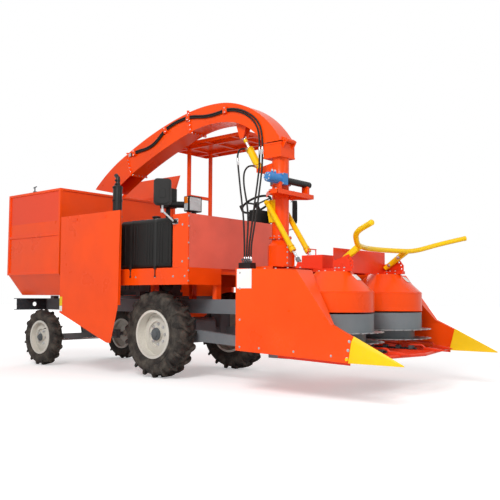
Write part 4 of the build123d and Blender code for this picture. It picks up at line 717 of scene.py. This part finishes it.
def make_tank_fittings():
    """Straps with their tension bolts, moulded ribs and filler caps."""
    straps, ribs, caps = Form(), Form(), Form()
    turns = [tau / 4 * k / 5 for k in range(6)]
    corner = [(-800 - 50 * cos(turn), 1750 + 50 * sin(turn)) for turn in turns]
    for x in (-290, 130):
        path = [at(x, -850, 1238), *(at(x, y, z) for y, z in corner), at(x, -475, 1800)]
        ribbon(straps, path, Vector((0.019, 0, 0)), 0.003)
        straps.bar(at(x, -856, 1150), at(x, -856, 1262), 0.006)
        straps.block((x - 20, x + 20), (-862, -850), (1226, 1238))
        straps.bolt(at(x, -856, 1150), (0, 0, -1), 0.011)
    for x in (-440, -395, -235, -190, -20, 25, 70, 190, 235, 330):
        ribs.block((x - 9, x + 9), (-854, -846), (1290, 1735))
    for x in (-300, -70):
        place = facing(at(x, -660, 1830 if x == -70 else 1800), UP)
        caps.lathe([(0.042, -0.004), (0.045, 0.012), (0.038, 0.022), (0.012, 0.026)], place, 28)
        for k in range(8):
            turn = tau * k / 8
            grip = place @ Vector((0.044 * cos(turn), 0.044 * sin(turn), 0.008))
            caps.lathe([(0.005, -0.01), (0.005, 0.012)], facing(grip, UP), 8)
    straps.make("tank_straps", BLACK, bevel=0.0006)
    ribs.make("tank_ribs", PLASTIC, bevel=0.003)
    caps.make("tank_caps", PLASTIC, bevel=0.001)


def make_exhaust_fittings():
    """Clamp bands with their ears and bolts."""
    bands = Form()
    x, y = -800, -650
    for z, radius in ((1530, 58), (1700, 58), (1900, 58), (2100, 58), (2262, 58), (2304, 27), (2352, 26)):
        r = radius / 1000
        bands.band(facing(at(x, y, z), UP), (r - 0.002, 0.012), (r + 0.004, 0.012), 36)
        bands.block((x - 9, x + 9), (y - radius - 18, y - radius), (z - 9, z + 9))
        bands.bolt(at(x + 9, y - radius - 10, z), AHEAD, 0.006)
    bands.make("exhaust_bands", BLACK, bevel=0.001)


def make_plates():
    """Blank plates on the panels."""
    header, white, amber = Form(), Form(), Form()
    header.block((1522, 1706), (-1050, -1051.2), (1000, 1186))
    white.block((-1463, -1408), (-1000, -1001.2), (734, 800))
    amber.block((-1463, -1408), (-1000, -1001.2), (802, 914))
    slope = Vector((197, 0, 210)).normalized()
    for side in (-1, 1):
        centre = at(DRUM_X, side * DRUM_Y, 0)
        turn = radians(7 if side < 0 else 9)
        out = Vector((slope.x * cos(turn), slope.x * sin(turn), slope.z))
        middle = centre + Vector((0.2345 * cos(turn), 0.2345 * sin(turn), 1.1035))
        header.prism(rounded(0.09, 0.075, 0.004), 0.0065, facing(middle, out, (-sin(turn), cos(turn), 0)))
    header.make("header_plates", WHITE, "header")
    white.make("white_plate", WHITE)
    amber.make("amber_plate", AMBER_PLATE)


def bolt_ring(form, centre, normal, radius, count, size, phase=0.0):
    """Bolts on a circle, about a point and normal."""
    place = facing(centre, normal)
    for k in range(count):
        turn = tau * (k + phase) / count
        form.bolt(place @ Vector((radius * cos(turn), radius * sin(turn), 0)), normal, size)
    return form


def make_column_fittings():
    """Flange bolts, the duct's seams and the valve block's spools and unions."""
    bolts, seams, valve = Form(), Form(), Form()
    bolt_ring(bolts, at(1243, 0, 1585), UP, 0.111, 12, 0.009)
    bolt_ring(bolts, at(1243, 0, 1561), (0, 0, -1), 0.111, 12, 0.009)
    for side in (-1, 1):
        seams.block((1371, 1396), (side * 56 - 3, side * 56 + 3), (1262, 1480))
        bolts.bolts(1384, side * 59, (1290, 1350, 1410, 1462), (0, side, 0), 0.007)
        seams.block((1130, 1356), (side * 135 - 4, side * 135 + 4), (1250, 1262))
    for x in (1108, 1378):
        seams.block((x - 4, x + 4), (-110, 110), (1250, 1262))
    union = [(0.0155, 0), (0.0155, 0.012), (0.0135, 0.018)]
    knob = [(0.011, 0), (0.012, 0.012), (0.006, 0.02)]
    for x in (1000, 1031, 1061, 1092):
        valve.lathe(union, facing(at(x, -330, 1291), UP), 6)
        valve.bar(at(x, -390, 1216), at(x, -412, 1216), 0.011)
        valve.bar(at(x, -366, 1290), at(x, -366, 1322), 0.006)
        valve.lathe(knob, facing(at(x, -366, 1318), UP), 16)
    bolts.make("column_bolts", STEEL)
    seams.make("column_seams", ORANGE, bevel=0.001)
    valve.make("valve_fittings", IRON, bevel=0.0006)


# Edge and bolts of the plate that carries the swivel drive
FAN_EDGE = ((1133, -120), (1363, -330), (1458, -330), (1458, 340), (1363, 340), (1133, 120))
FAN_BOLTS = ((1180, -150), (1300, -270), (1420, -310), (1430, 0), (1420, 318), (1300, 280), (1180, 150))


def make_swivel_fittings():
    """Ring-gear teeth, the ribbed worm cover, the plate's skirt, and the motor's cap, bolts and ports."""
    teeth, cover, motor, bolts, skirt = Form(), Form(), Form(), Form(), Form()
    axis = at(1243, 0, 2190)
    for k in range(44):
        turn = tau * k / 44
        place = facing(axis, (cos(turn), sin(turn), 0), UP)
        teeth.prism([(-0.028, -0.004), (0.028, -0.004), (0.028, 0.004), (-0.028, 0.004)], 0.1165, place)
    for k in range(14):
        cover.band(facing(at(1400, -136 + 35 * k, 2190), LEFT), (0.0345, 0.008), (0.0372, 0.005))
    cover.lathe([(0.036, 0), (0.034, 0.006), (0.018, 0.009)], facing(at(1400, 326, 2190), LEFT), 28)
    cap = [(0.05, 0), (0.05, 0.012), (0.042, 0.018), (0.02, 0.02)]
    motor.lathe(cap, facing(at(1400, -424, 2190), RIGHT), 7)
    for y in (-400, -370, -340, -310, -280):
        motor.band(facing(at(1400, y, 2190), LEFT), (0.051, 0.006), (0.0545, 0.004), 32)
    for y in (-300, -350):
        motor.bar(at(1400, y, 2240), at(1400, y, 2262), 0.014)
        bolts.lathe([(0.012, 0), (0.012, 0.012), (0.007, 0.02)], facing(at(1400, y, 2262), UP), 6)
    bolt_ring(bolts, at(1400, -442, 2190), RIGHT, 0.036, 7, 0.006, 0.5)
    bolts.bolts((1350, 1450), -230, (2140, 2240), RIGHT, 0.008)
    for x, y in FAN_BOLTS:
        bolts.bolt(at(x, y, 2075), UP, 0.009)
    for first, second in zip(FAN_EDGE, FAN_EDGE[1:]):
        a, b = at(*first, 2062), at(*second, 2062)
        inward = Vector(UP).cross(b - a).normalized() * 0.006
        drop = Vector((0, 0, 0.036))
        skirt.strip([[a, b, b - drop, a - drop], [p + inward for p in (a, b, b - drop, a - drop)]])
    skirt.make("swivel_skirt", ORANGE, bevel=0.001)
    teeth.make("ring_gear_teeth", IRON, "turret")
    cover.make("worm_cover_ribs", BLACK)
    motor.make("motor_ribs", BLUE, bevel=0.0008)
    bolts.make("swivel_bolts", STEEL)


SPOUT_SIDE = 125
FLANGE_REACH = 22
FLANGE_JOINTS = (
    # foot and head of the joint, plates as distances along the duct, share along it kept free for the hoses
    ((-60, 2950), (-100, 3200), ((-9, -3), (3, 9)), (0.64, 0.86)),
    ((-1172, 2548), (-1266, 2822), ((3, 9),), (0.8, 1.0)),
)
HOSE_CLIPS = ((525, 3117, -4), (-91, 3131, 7), (-503, 3038, -24), (-1102, 2822, -9))


def make_spout_fittings():
    """Bolted angle flanges where the lengths of duct meet, and clips over the hoses."""
    flanges, bolts, clips = Form(), Form(), Form()

    def angle(points, ys):
        flanges.strip([[at(p.x, y, p.y) for p in points] for y in ys])

    for foot, head, plates, (free_from, free_to) in FLANGE_JOINTS:
        low, high = Vector(foot), Vector(head)
        run = high - low
        up = run.normalized()
        along = Vector((run.y, -run.x)).normalized()
        for near, far in plates:
            out = along * (1 if near > 0 else -1)
            face = along * (far if near > 0 else near)
            for side, start, end in ((-1, 0.0, free_from), (-1, free_to, 1.0), (1, 0.0, 1.0)):
                if end - start < 0.03:
                    continue
                a, b = low + run * start, low + run * end
                corners = [a + along * near, b + along * near, b + along * far, a + along * far]
                angle(corners, (side * SPOUT_SIDE, side * (SPOUT_SIDE + FLANGE_REACH)))
                count = max(1, round((end - start) * 5))
                for k in range(count):
                    spot = a.lerp(b, (k + 0.5) / count) + face
                    bolts.bolt(at(spot.x, side * (SPOUT_SIDE + 13), spot.y), (out.x, 0, out.y), 0.0065)
            for edge, way in ((low, -1), (high, 1)):
                if edge == high and len(plates) == 1:
                    continue
                a, b = edge, edge + up * way * FLANGE_REACH
                corners = [a + along * near, b + along * near, b + along * far, a + along * far]
                angle(corners, (-SPOUT_SIDE - FLANGE_REACH, SPOUT_SIDE + FLANGE_REACH))
                spot = edge + up * way * 12 + face
                for y in (-110, -55, 0, 55, 110):
                    bolts.bolt(at(spot.x, y, spot.y), (out.x, 0, out.y), 0.007)
    for x, z, lean in HOSE_CLIPS:
        place = facing(at(x, -125, z), RIGHT, AHEAD) @ Matrix.Rotation(radians(-lean), 4, "Z")
        clips.prism(rounded(0.062, 0.074, 0.006, 3), 0.031, place)
        for shift in (0.026, -0.026):
            bolts.bolt(place @ Vector((0, shift, 0.031)), RIGHT, 0.006)
    flanges.make("spout_flanges", ORANGE, "spout", bevel=0.001)
    bolts.make("spout_bolts", STEEL, "spout")
    clips.make("hose_clips", ORANGE, "spout", bevel=0.0015)
    collar = Form()
    for z in (2474, 2622):
        for side in (-1, 1):
            collar.block((1096, 1349), (side * 125, side * 129), (z - 10, z + 10))
        for x in (1096, 1345):
            collar.block((x, x + 4), (-127, 127), (z - 10, z + 10))
    bolt_ring(collar, at(1243, 0, 2470), (0, 0, -1), 0.112, 10, 0.007)
    collar.make("collar_lips", ORANGE, "turret", bevel=0.001)


def make_cylinder_fittings():
    """Glands, unions and clevises of the lift cylinders, and the tilt cylinder's sleeve, glands and eye."""
    glands, clevis, eyes = Form(), Form(), Form()
    lift_top, lift_foot = Vector((1166, 0, 1960)), Vector((1622, 0, 1265))
    ahead = (lift_foot - lift_top).normalized()
    for side in (-1, 1):
        for distance, radius in ((60, 31.5), (585, 31.5), (600, 36.5), (632, 36.5), (650, 33)):
            p = lift_top + ahead * distance
            r = radius / 1000
            glands.band(facing(at(p.x, side * 140, p.z), ahead), (r - 0.004, 0.005), (r, 0.004))
        for distance in (80, 575):
            p = lift_top + ahead * distance
            glands.bar(at(p.x, side * 140, p.z), at(p.x, side * 178, p.z), 0.011)
        foot = at(lift_foot.x, side * 140, lift_foot.z)
        profile = [(0.021, -0.085), (0.025, -0.08), (0.025, -0.034), (0.018, -0.03)]
        clevis.lathe(profile, facing(foot, ahead), 20)
        for end in (-1, 1):
            pin = at(lift_top.x, side * 140 + end * 21, lift_top.z)
            glands.lathe([(0.019, 0), (0.019, 0.004), (0.013, 0.006)], facing(pin, (0, end, 0)), 20)
    glands.make("lift_cylinder_glands", YELLOW, "lift_barrel")
    clevis.make("lift_rod_clevises", GREY, "lift_rod")
    tilt_foot, tilt_eye = Vector((955, 0, 2361)), Vector((700, 0, 2790))
    ahead = (tilt_eye - tilt_foot).normalized()
    tilt = Form()
    sleeve = [(0.034, 0.072), (0.044, 0.08), (0.044, 0.29), (0.036, 0.296)]
    tilt.lathe(sleeve, facing(at(*tilt_foot), ahead), 36)
    for distance, radius in ((30, 34.5), (292, 48), (302, 50), (324, 48)):
        p = tilt_foot + ahead * distance
        r = radius / 1000
        tilt.band(facing(at(*p), ahead), (r - 0.004, 0.005), (r, 0.004))
    for distance in (60, 310):
        p = tilt_foot + ahead * distance
        tilt.lathe([(0.0155, 0), (0.0155, 0.012), (0.012, 0.016)], facing(at(p.x, -38, p.z), RIGHT), 6)
    tilt.make("tilt_cylinder_glands", YELLOW, "tilt_barrel")
    profile = [(0.02, -0.078), (0.023, -0.074), (0.023, -0.034), (0.017, -0.03)]
    eyes.lathe(profile, facing(at(*tilt_eye), ahead), 20)
    eyes.make("tilt_rod_eye", YELLOW, "tilt_rod")


CHAIN_Y = 300
CHAIN_Z = 412
FINGERS = (((2780, 360), (3000, 350)), ((2690, 760), (2950, 640)))
GUIDE_RODS = (
    ((2786, 360, 410), (2766, 358, 446), (2330, 290, 452), (2200, 280, 420)),
    ((2696, 760, 410), (2676, 770, 446), (2400, 860, 450), (2260, 890, 420)),
)
DIVIDER_BOLTS = (
    (1560, 440), (1560, 700), (1560, 1000), (1560, 1150), (1800, 440), (2200, 430), (2600, 415),
)
BAR_POINTS = ((2970, 980, 1550), (2730, 856, 1490), (2570, 560, 1400), (2430, 160, 1400))
BAR_ARM = ((2270, 1239), (2302, 1206), (2560, 1378), (2560, 1410), (2500, 1410))
NOSE_TOP = Vector((2811, 585))
NOSE_BOTTOM = Vector((2770, 361))
TIP_POINT = Vector((3270, 366))
# Sections of a divider tip, as depths from its outer face and heights over the nose's top or the point
TIP_SECTIONS = (
    ((0, -227), (0, -42), (26, 6), (38, 0), (85, -227)),
    ((36, -6), (36, 0), (39, 5), (41, 4), (46, -6)),
)


def make_push_bar():
    """The bar with its bends rounded, on two box-section arms."""
    points = [at(x, -y, z) for x, y, z in BAR_POINTS]
    points += [at(x, y, z) for x, y, z in reversed(BAR_POINTS)]
    bar = Form().tube(rounded_path(points, 0.13, 12), 0.025, 28)
    arms = Form()
    for side in (-1, 1):
        place = facing(at(0, side * 468 - 20, 0), LEFT, AHEAD)
        arms.prism([(x / 1000, -z / 1000) for x, z in BAR_ARM], 0.04, place)
    for piece in (bar.make("push_bar_tube", YELLOW, "header", smooth=60),
                  arms.make("push_bar_arms", YELLOW, "header", bevel=0.006)):
        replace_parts(piece, "push_bar")


def make_tips():
    """Folded points on the dividers, with a hinge eye at the back."""
    up = (NOSE_TOP - NOSE_BOTTOM).normalized()
    tips = Form()
    for side in (-1, 1):
        nose, point = (
            [(start + way * height, 1050 - depth) for depth, height in section]
            for start, way, section in zip((NOSE_TOP, TIP_POINT), (up, Vector((0, 1))), TIP_SECTIONS)
        )
        tips.strip([[at(spot.x, side * y, spot.y) for spot, y in row] for row in (nose, point)])
        tips.bar(at(2762, side * 1036, 394), at(2762, side * 1064, 394), 0.014, 20)
    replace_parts(tips.make("divider_points", YELLOW, "header", bevel=0.004), "divider_tips")


def make_header_fittings():
    """Bolts, gathering chains with cleats, guide fingers and skirts, bar caps and cover beads."""
    bolts, chain, caps, seams, cleats, fingers = Form(), Form(), Form(), Form(), Form(), Form()
    for side in (-1, 1):
        y = side * DRUM_Y
        bolt_ring(bolts, at(DRUM_X, y, 1164), UP, 0.15, 10, 0.008, 0.5)
        bolts.bolts((2300, 2340, 2400), (y - 20, y + 20), 1194, UP, 0.009)
        for x, z in ((2340, 1258), (2450, 1336)):
            bolts.bolt(at(x, y - side * 46, z), (0, -side, 0), 0.013)
        bolts.bolts((1560, 1700, 1850, 2000), side * 670, 1199, UP, 0.009)
        for x, z in DIVIDER_BOLTS:
            bolts.bolt(at(x, side * 1050, z), (0, side, 0), 0.007)
        for z in (400, 470, 545):
            bolts.bolt(at(2752 + (z - 361) * 0.18, side * 1050, z), (0, side, 0), 0.009)
        end, inner = (at(x, side * y, z) for x, y, z in BAR_POINTS[:2])
        out = (end - inner).normalized()
        cap = [(0.0252, -0.02), (0.0262, -0.018), (0.0262, 0), (0.02, 0.008), (0.008, 0.011)]
        caps.lathe(cap, facing(end - out * 0.006, out), 24)
        for z, radius in ((785, 380.5), (962, 380.8), (972, 376)):
            r = radius / 1000
            seams.band(facing(at(DRUM_X, y, z), UP), (r - 0.003, 0.005), (r + 0.002, 0.003), 72)
        line = side * CHAIN_Y
        for k in range(15):
            x = 2200 + 36 * k
            for dy in (-11, 11):
                place = facing(at(x, line + dy - 2.5, CHAIN_Z), LEFT, AHEAD)
                chain.prism(rounded(0.034, 0.02, 0.0095, 3), 0.005, place)
            chain.bar(at(x + 10, line - 16, CHAIN_Z), at(x + 10, line + 16, CHAIN_Z), 0.0055, 10)
            if k % 4 == 1:
                cleats.block((x - 20, x + 20), (line - 26, line + 26), (408, 440))
        for base, point in FINGERS:
            root, end = (at(x, side * y, 402) for x, y in (base, point))
            length = (end - root).length
            profile = [(0.02, 0), (0.026, 0.02), (0.022, 0.45 * length), (0.004, length)]
            fingers.lathe(profile, facing(root, end - root), 20)
        for row in GUIDE_RODS:
            fingers.tube(rounded_path([at(x, side * y, z) for x, y, z in row], 0.03), 0.009, 12)
        wall = side * 1008
        skirt = [at(1990, wall, 404), at(2766, wall, 372), at(2766, wall, 338), at(1990, wall, 360)]
        fingers.strip([skirt, [p - Vector((0, side * 0.006, 0)) for p in skirt]])
    for y in (-200, -60):
        bolts.lathe([(0.014, 0), (0.014, 0.004), (0.008, 0.007)], facing(at(1760, y, 1352), UP), 16)
    bolts.make("header_bolts", STEEL, "header")
    chain.make("gathering_chains", BLACK, "header", bevel=0.0008)
    caps.make("push_bar_caps", YELLOW, "header")
    cleats.make("chain_cleats", IRON, "header", bevel=0.002)
    fingers.make("guide_fingers", RED, "header", bevel=0.0008)
    seams.make("drum_cover_beads", ORANGE, "header")


def make_bin_fittings():
    """Perforated upper panel and the latch on the rim."""
    mesh, latch = Form(), Form()
    mesh.block((-2655, -1545), (-985.8, -985), (1880, 2254))
    latch.block((-2120, -2080), (-1000, -960), (2290, 2302))
    latch.bar(at(-2100, -985, 2300), at(-2100, -985, 2352), 0.008)
    latch.bar(at(-2130, -985, 2350), at(-2062, -985, 2362), 0.007)
    mesh.make("bin_mesh_panel", MESH, "bin")
    latch.make("bin_latch", IRON, "bin", bevel=0.001)


def make_platform_fittings():
    """Levers, pedals, dials, raised lozenges on the floor, ladder treads, panel edges and bolts."""
    dark, knobs, dials, treads, edges, bolts = Form(), Form(), Form(), Form(), Form(), Form()
    for y, lean in ((470, -30), (500, 25), (530, -10)):
        dark.bar(at(300, y, 1236), at(300 + lean, y, 1700), 0.007)
        knobs.lathe([(0.012, -0.02), (0.02, -0.004), (0.02, 0.012), (0.01, 0.024)],
                    facing(at(300 + lean, y, 1710), UP), 20)
    for y in (470, 640, 720):
        dark.bar(at(420, y, 1236), at(330, y, 1330), 0.009)
        dark.block((300, 340), (y - 30, y + 30), (1326, 1338))
    slope = facing(at(402, 590, 1935), (-1, 0, 0), LEFT)
    dark.prism(rounded(0.26, 0.1, 0.015), 0.012, slope)
    for shift, radius in ((-0.085, 0.032), (0, 0.036), (0.085, 0.032)):
        place = slope @ Matrix.Translation((shift, 0, 0.012))
        profile = [(radius, 0), (radius, 0.006), (radius - 0.004, 0.008), (radius - 0.005, 0.005)]
        dials.lathe(profile, place, 28)
    for k in range(9):
        for j in range(6):
            x, y = -120 + 52 * k, 330 + 66 * j
            if 400 <= y <= 740 and x < 90:
                continue
            turn = Matrix.Rotation(radians(45 if (k + j) % 2 else -45), 4, "Z")
            place = facing(at(x, y, 1236), UP) @ turn
            treads.prism([(-0.016, 0), (0, -0.0045), (0.016, 0), (0, 0.0045)], 0.003, place)
    for height in (430, 680, 930):
        for y in (870, 900, 930, 960):
            treads.block((70, 450), (y, y + 8), (height + 30, height + 34))
    for side in (-1, 1):
        edges.block((640, 644), (side * 840 - 8, side * 840 + 8), (1049, 1822))
        out = (0, side, 0)
        bolts.bolts(644, side * 840, (1090, 1200, 1330, 1500, 1680, 1790), AHEAD, 0.007)
        bolts.bolts(560, side * 850, (1300, 1700), out, 0.008)
        bolts.bolts((-480, -200, 130, 420, 600), side * 850, 1140, out, 0.008)
        for x in (-1180, -620):
            place = facing(at(x, side * 1000, 1860), out, AHEAD)
            edges.prism(rounded(0.1, 0.035, 0.01), 0.006, place)
    dark.make("levers_and_pedals", BLACK, bevel=0.001)
    knobs.make("lever_knobs", PLASTIC)
    dials.make("dials", WHITE)
    treads.make("treads", STEEL)
    edges.make("panel_edges", ORANGE, bevel=0.001)
    bolts.make("panel_bolts", STEEL)


def make_engine_fittings():
    """Rocker cover with its bolts, ribs and pulleys of the engine."""
    low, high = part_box("engine_block")
    iron, dark = Form(), Form()
    middle = (low[1] + high[1]) / 2
    top = high[2] + 0.06
    iron.box((low[0] + 0.08, high[0] - 0.08), (middle - 0.11, middle + 0.11), (high[2] - 0.002, top))
    count = 7
    for k in range(count):
        x = low[0] + 0.1 + (high[0] - low[0] - 0.2) * k / (count - 1)
        for y in (low[1], high[1]):
            iron.box((x - 0.012, x + 0.012), (y - 0.006, y + 0.006), (low[2] + 0.12, high[2] - 0.12))
        for shift in (-0.09, 0.09):
            iron.bolt((x, middle + shift, top), UP, 0.009)
    for y, z, radius in ((middle, low[2] + 0.2, 0.11), (middle + 0.12, high[2] - 0.15, 0.07)):
        groove = radius - 0.015
        profile = [(radius, 0), (radius, 0.01), (groove, 0.018), (radius, 0.026), (radius, 0.036)]
        profile.append((0.02, 0.036))
        dark.lathe(profile, facing((high[0], y, z), AHEAD), 40)
    iron.make("engine_ribs", IRON, bevel=0.003)
    dark.make("engine_pulleys", BLACK)


HOSE_DIAMETER = 0.02
SPOUT_HOSE_Y = -141
SPOUT_HOSES = (
    (
        (1095, 2560), (1095, 2700), (1056, 2864), (954, 2981), (769, 3088), (560, 3133), (400, 3109),
        (200, 3103), (-33, 3145), (-200, 3139), (-384, 3101), (-509, 3050), (-608, 2974), (-706, 2902),
        (-843, 2856), (-1001, 2847), (-1104, 2833), (-1204, 2810),
    ),
    (
        (1053, 2560), (1053, 2696), (1022, 2840), (934, 2957), (759, 3066), (560, 3111), (400, 3087),
        (200, 3081), (-37, 3123), (-200, 3117), (-376, 3079), (-497, 3030), (-592, 2956), (-694, 2882),
        (-837, 2834), (-999, 2825), (-1100, 2811), (-1200, 2788),
    ),
)
COLUMN_HOSES = (
    (
        (796.6, -56, 2627.5), (796.6, -160, 2627.5), (803, -235, 2545), (818, -240, 2420),
        (838, -242, 2280), (866, -250, 2120), (905, -266, 1960), (945, -286, 1790), (976, -310, 1620),
        (1000, -330, 1460), (1000, -330, 1310),
    ),
    (
        (924.3, -56, 2412.6), (924.3, -164, 2412.6), (905, -236, 2333), (904, -241, 2205),
        (930, -244, 2080), (972, -254, 1940), (1005, -278, 1790), (1022, -302, 1630),
        (1031, -330, 1470), (1031, -330, 1310),
    ),
    (
        (1092, -330, 1310), (1092, -330, 1460), (1103, -305, 1620), (1108, -272, 1780),
        (1103, -232, 1940), (1093, -192, 2090), (1088, -158, 2240), (1095, -141, 2400),
        (1095, -141, 2560),
    ),
    (
        (1061, -330, 1310), (1061, -330, 1460), (1066, -302, 1620), (1064, -270, 1780),
        (1056, -230, 1940), (1047, -190, 2090), (1044, -157, 2240), (1053, -141, 2400),
        (1053, -141, 2560),
    ),
)
# Heights of the stretch of each column hose that the turret's turning would twist, and the body at its
# upper end
COLUMN_TURNS = (
    (1950, 2440, "tilt_barrel"), (2060, 2400, "tilt_barrel"),
    (2120, 2520, "turret"), (2120, 2520, "turret"),
)
# Height in metres above which a hose to the tilt cylinder is a length of its own
UNION_Z = 2.45


def hose_path(points, steps=8):
    """A smooth line led by control points, with parabolas between the middles of their spans."""
    ends = [points[0], *((a + b) / 2 for a, b in zip(points[1:], points[2:-1])), points[-1]]
    path = [points[0]]
    for start, lead, end in zip(ends, points[1:-1], ends[1:]):
        for k in range(1, steps + 1):
            share = k / steps
            path.append(start.lerp(lead, share).lerp(lead.lerp(end, share), share))
    return path


def make_hose(name, path, node, end_bodies):
    """A hose along a path, with a ferrule at each end that rides on one of two bodies."""
    hose = Form().tube(path, HOSE_DIAMETER / 2, 16).make(name, HOSE, None, smooth=60)
    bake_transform(hose)
    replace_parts(hose, node)
    for k, (tip, inner) in enumerate((path[:2], path[:-3:-1])):
        place = facing(tip, inner - tip)
        ferrule = Form().lathe([(0.0125, 0), (0.0125, 0.04), (0.0105, 0.044)], place, 20)
        ferrule.lathe([(0.0145, 0.002), (0.0145, 0.014)], place, 6)
        ferrule.make(f"{name}_ferrule_{k + 1}", STEEL, end_bodies[k])


def make_hoses():
    """Hoses from the machine up to the turret, and from the turret along the spout, with ferrules riding on
    the bodies at their ends.
    """
    for k, row in enumerate(SPOUT_HOSES):
        path = hose_path([at(x, SPOUT_HOSE_Y, z) for x, z in row])
        make_hose(f"spout_hose_{k + 1}", path, "spout_hoses", ("turret", "spout"))
    for k, (row, (low, high, head)) in enumerate(zip(COLUMN_HOSES, COLUMN_TURNS)):
        path = hose_path([at(*point) for point in row])
        if path[0].z > path[-1].z:
            path.reverse()
        name = f"column_hose_{k + 1}"
        above = [i for i, point in enumerate(path) if point.z > UNION_Z]
        if head == "tilt_barrel" and above:
            upper, path = path[:above[0] - 1:-1], path[:above[0] + 1]
            make_hose(f"{name}_upper", upper, "column_hoses", (head, "turret"))
            make_hose(name, path, "column_hoses", ("machine", "turret"))
        else:
            make_hose(name, path, "column_hoses", ("machine", head))


FITTINGS = (
    make_seat, make_lamps, make_mirrors, make_tank_fittings, make_exhaust_fittings, make_plates,
    make_column_fittings, make_swivel_fittings, make_spout_fittings, make_cylinder_fittings,
    make_push_bar, make_tips, make_header_fittings, make_bin_fittings, make_platform_fittings,
    make_engine_fittings, make_hoses,
)


# Camera, floor and light
CAMERA_PLACE = (5.6644, -6.0577, 0.9109)
CAMERA_YAW = radians(40.147)
CAMERA_PITCH = radians(3.961)
CAMERA_ROLL = radians(-0.248)
CAMERA_LENS = 49.577
SENSOR = 36.0
FLOOR_FADE = (4.0, 11.0)
FLOOR_GLOW = (0.36, 0.85)
WORLD_LIGHT = 0.4
LAMPS = (
    # name, place, what it points at, diameter, watts
    ("key", (4.0, -7.5, 6.5), (0.2, 0, 1.2), 4.0, 620),
    ("fill", (8.5, 1.5, 4.0), (0.5, 0, 1.0), 4.0, 70),
    ("back", (-6.0, 5.0, 6.0), (-0.5, 0, 1.5), 4.0, 130),
)


def set_camera():
    data = bpy.data.cameras.new("camera")
    data.lens = CAMERA_LENS
    data.sensor_width = SENSOR
    camera = bpy.data.objects.new("camera", data)
    bpy.context.scene.collection.objects.link(camera)
    ahead = Vector((
        -sin(CAMERA_YAW) * cos(CAMERA_PITCH),
        cos(CAMERA_YAW) * cos(CAMERA_PITCH),
        sin(CAMERA_PITCH),
    ))
    right = Vector((cos(CAMERA_YAW), sin(CAMERA_YAW), 0))
    right.rotate(Matrix.Rotation(CAMERA_ROLL, 3, ahead))
    up = right.cross(ahead)
    matrix = Matrix((right, up, -ahead)).transposed().to_4x4()
    matrix.translation = CAMERA_PLACE
    camera.matrix_world = matrix
    bpy.context.scene.camera = camera


def set_stage():
    """A pale floor that keeps the shadow, white surroundings for the camera, and soft lamps."""
    mesh = bpy.data.meshes.new("floor")
    reach = 60
    corners = [(reach * x, reach * y, 0) for x, y in ((-1, -1), (1, -1), (1, 1), (-1, 1))]
    mesh.from_pydata(corners, [], [(0, 1, 2, 3)])
    floor = bpy.data.objects.new("floor", mesh)
    bpy.context.scene.collection.objects.link(floor)
    finish = Finish("floor")
    haze = finish.mix(finish.noise(0.4, 2), (0.9, 0.9, 0.9, 1), (0.94, 0.94, 0.94, 1))
    finish.feed("Base Color", haze)
    distance = finish.node("ShaderNodeVectorMath")
    distance.operation = "LENGTH"
    finish.link(finish.place, distance.inputs[0])
    glow = finish.spread(distance.outputs["Value"], *FLOOR_FADE, *FLOOR_GLOW)
    seen_by_camera = finish.node("ShaderNodeLightPath").outputs["Is Camera Ray"]
    finish.feed("Emission Strength", finish.times(glow, seen_by_camera))
    finish.set(Roughness=0.9, Emission_Color=(1, 1, 1, 1))
    mesh.materials.append(finish.material)

    world = bpy.data.worlds.new("studio")
    bpy.context.scene.world = world
    world.use_nodes = True
    tree = world.node_tree
    background = tree.nodes["Background"]
    rays = tree.nodes.new("ShaderNodeLightPath").outputs

    def either(first, second):
        node = tree.nodes.new("ShaderNodeMath")
        node.operation = "MAXIMUM"
        tree.links.new(first, node.inputs[0])
        tree.links.new(second, node.inputs[1])
        return node.outputs["Value"]

    seen = either(rays["Is Camera Ray"], either(rays["Is Glossy Ray"], rays["Is Transmission Ray"]))
    strength = tree.nodes.new("ShaderNodeMapRange")
    strength.inputs["To Min"].default_value = WORLD_LIGHT
    strength.inputs["To Max"].default_value = 1.0
    tree.links.new(seen, strength.inputs["Value"])
    tree.links.new(strength.outputs["Result"], background.inputs["Strength"])
    background.inputs["Color"].default_value = (1, 1, 1, 1)

    for name, place, aim, size, power in LAMPS:
        data = bpy.data.lights.new(name, "AREA")
        data.shape = "DISK"
        data.size = size
        data.energy = power
        lamp = bpy.data.objects.new(name, data)
        bpy.context.scene.collection.objects.link(lamp)
        lamp.matrix_world = facing(place, Vector(place) - Vector(aim))


dress_nodes()
for side, hand in SIDES:
    for end in WHEELS:
        make_tyre(end, side, hand)
        make_wheel_fittings(end, side, hand)
paint_second_finishes()
for part_of_machine in FITTINGS:
    part_of_machine()
set_stage()
set_camera()
bpy.context.scene.view_settings.view_transform = "Standard"
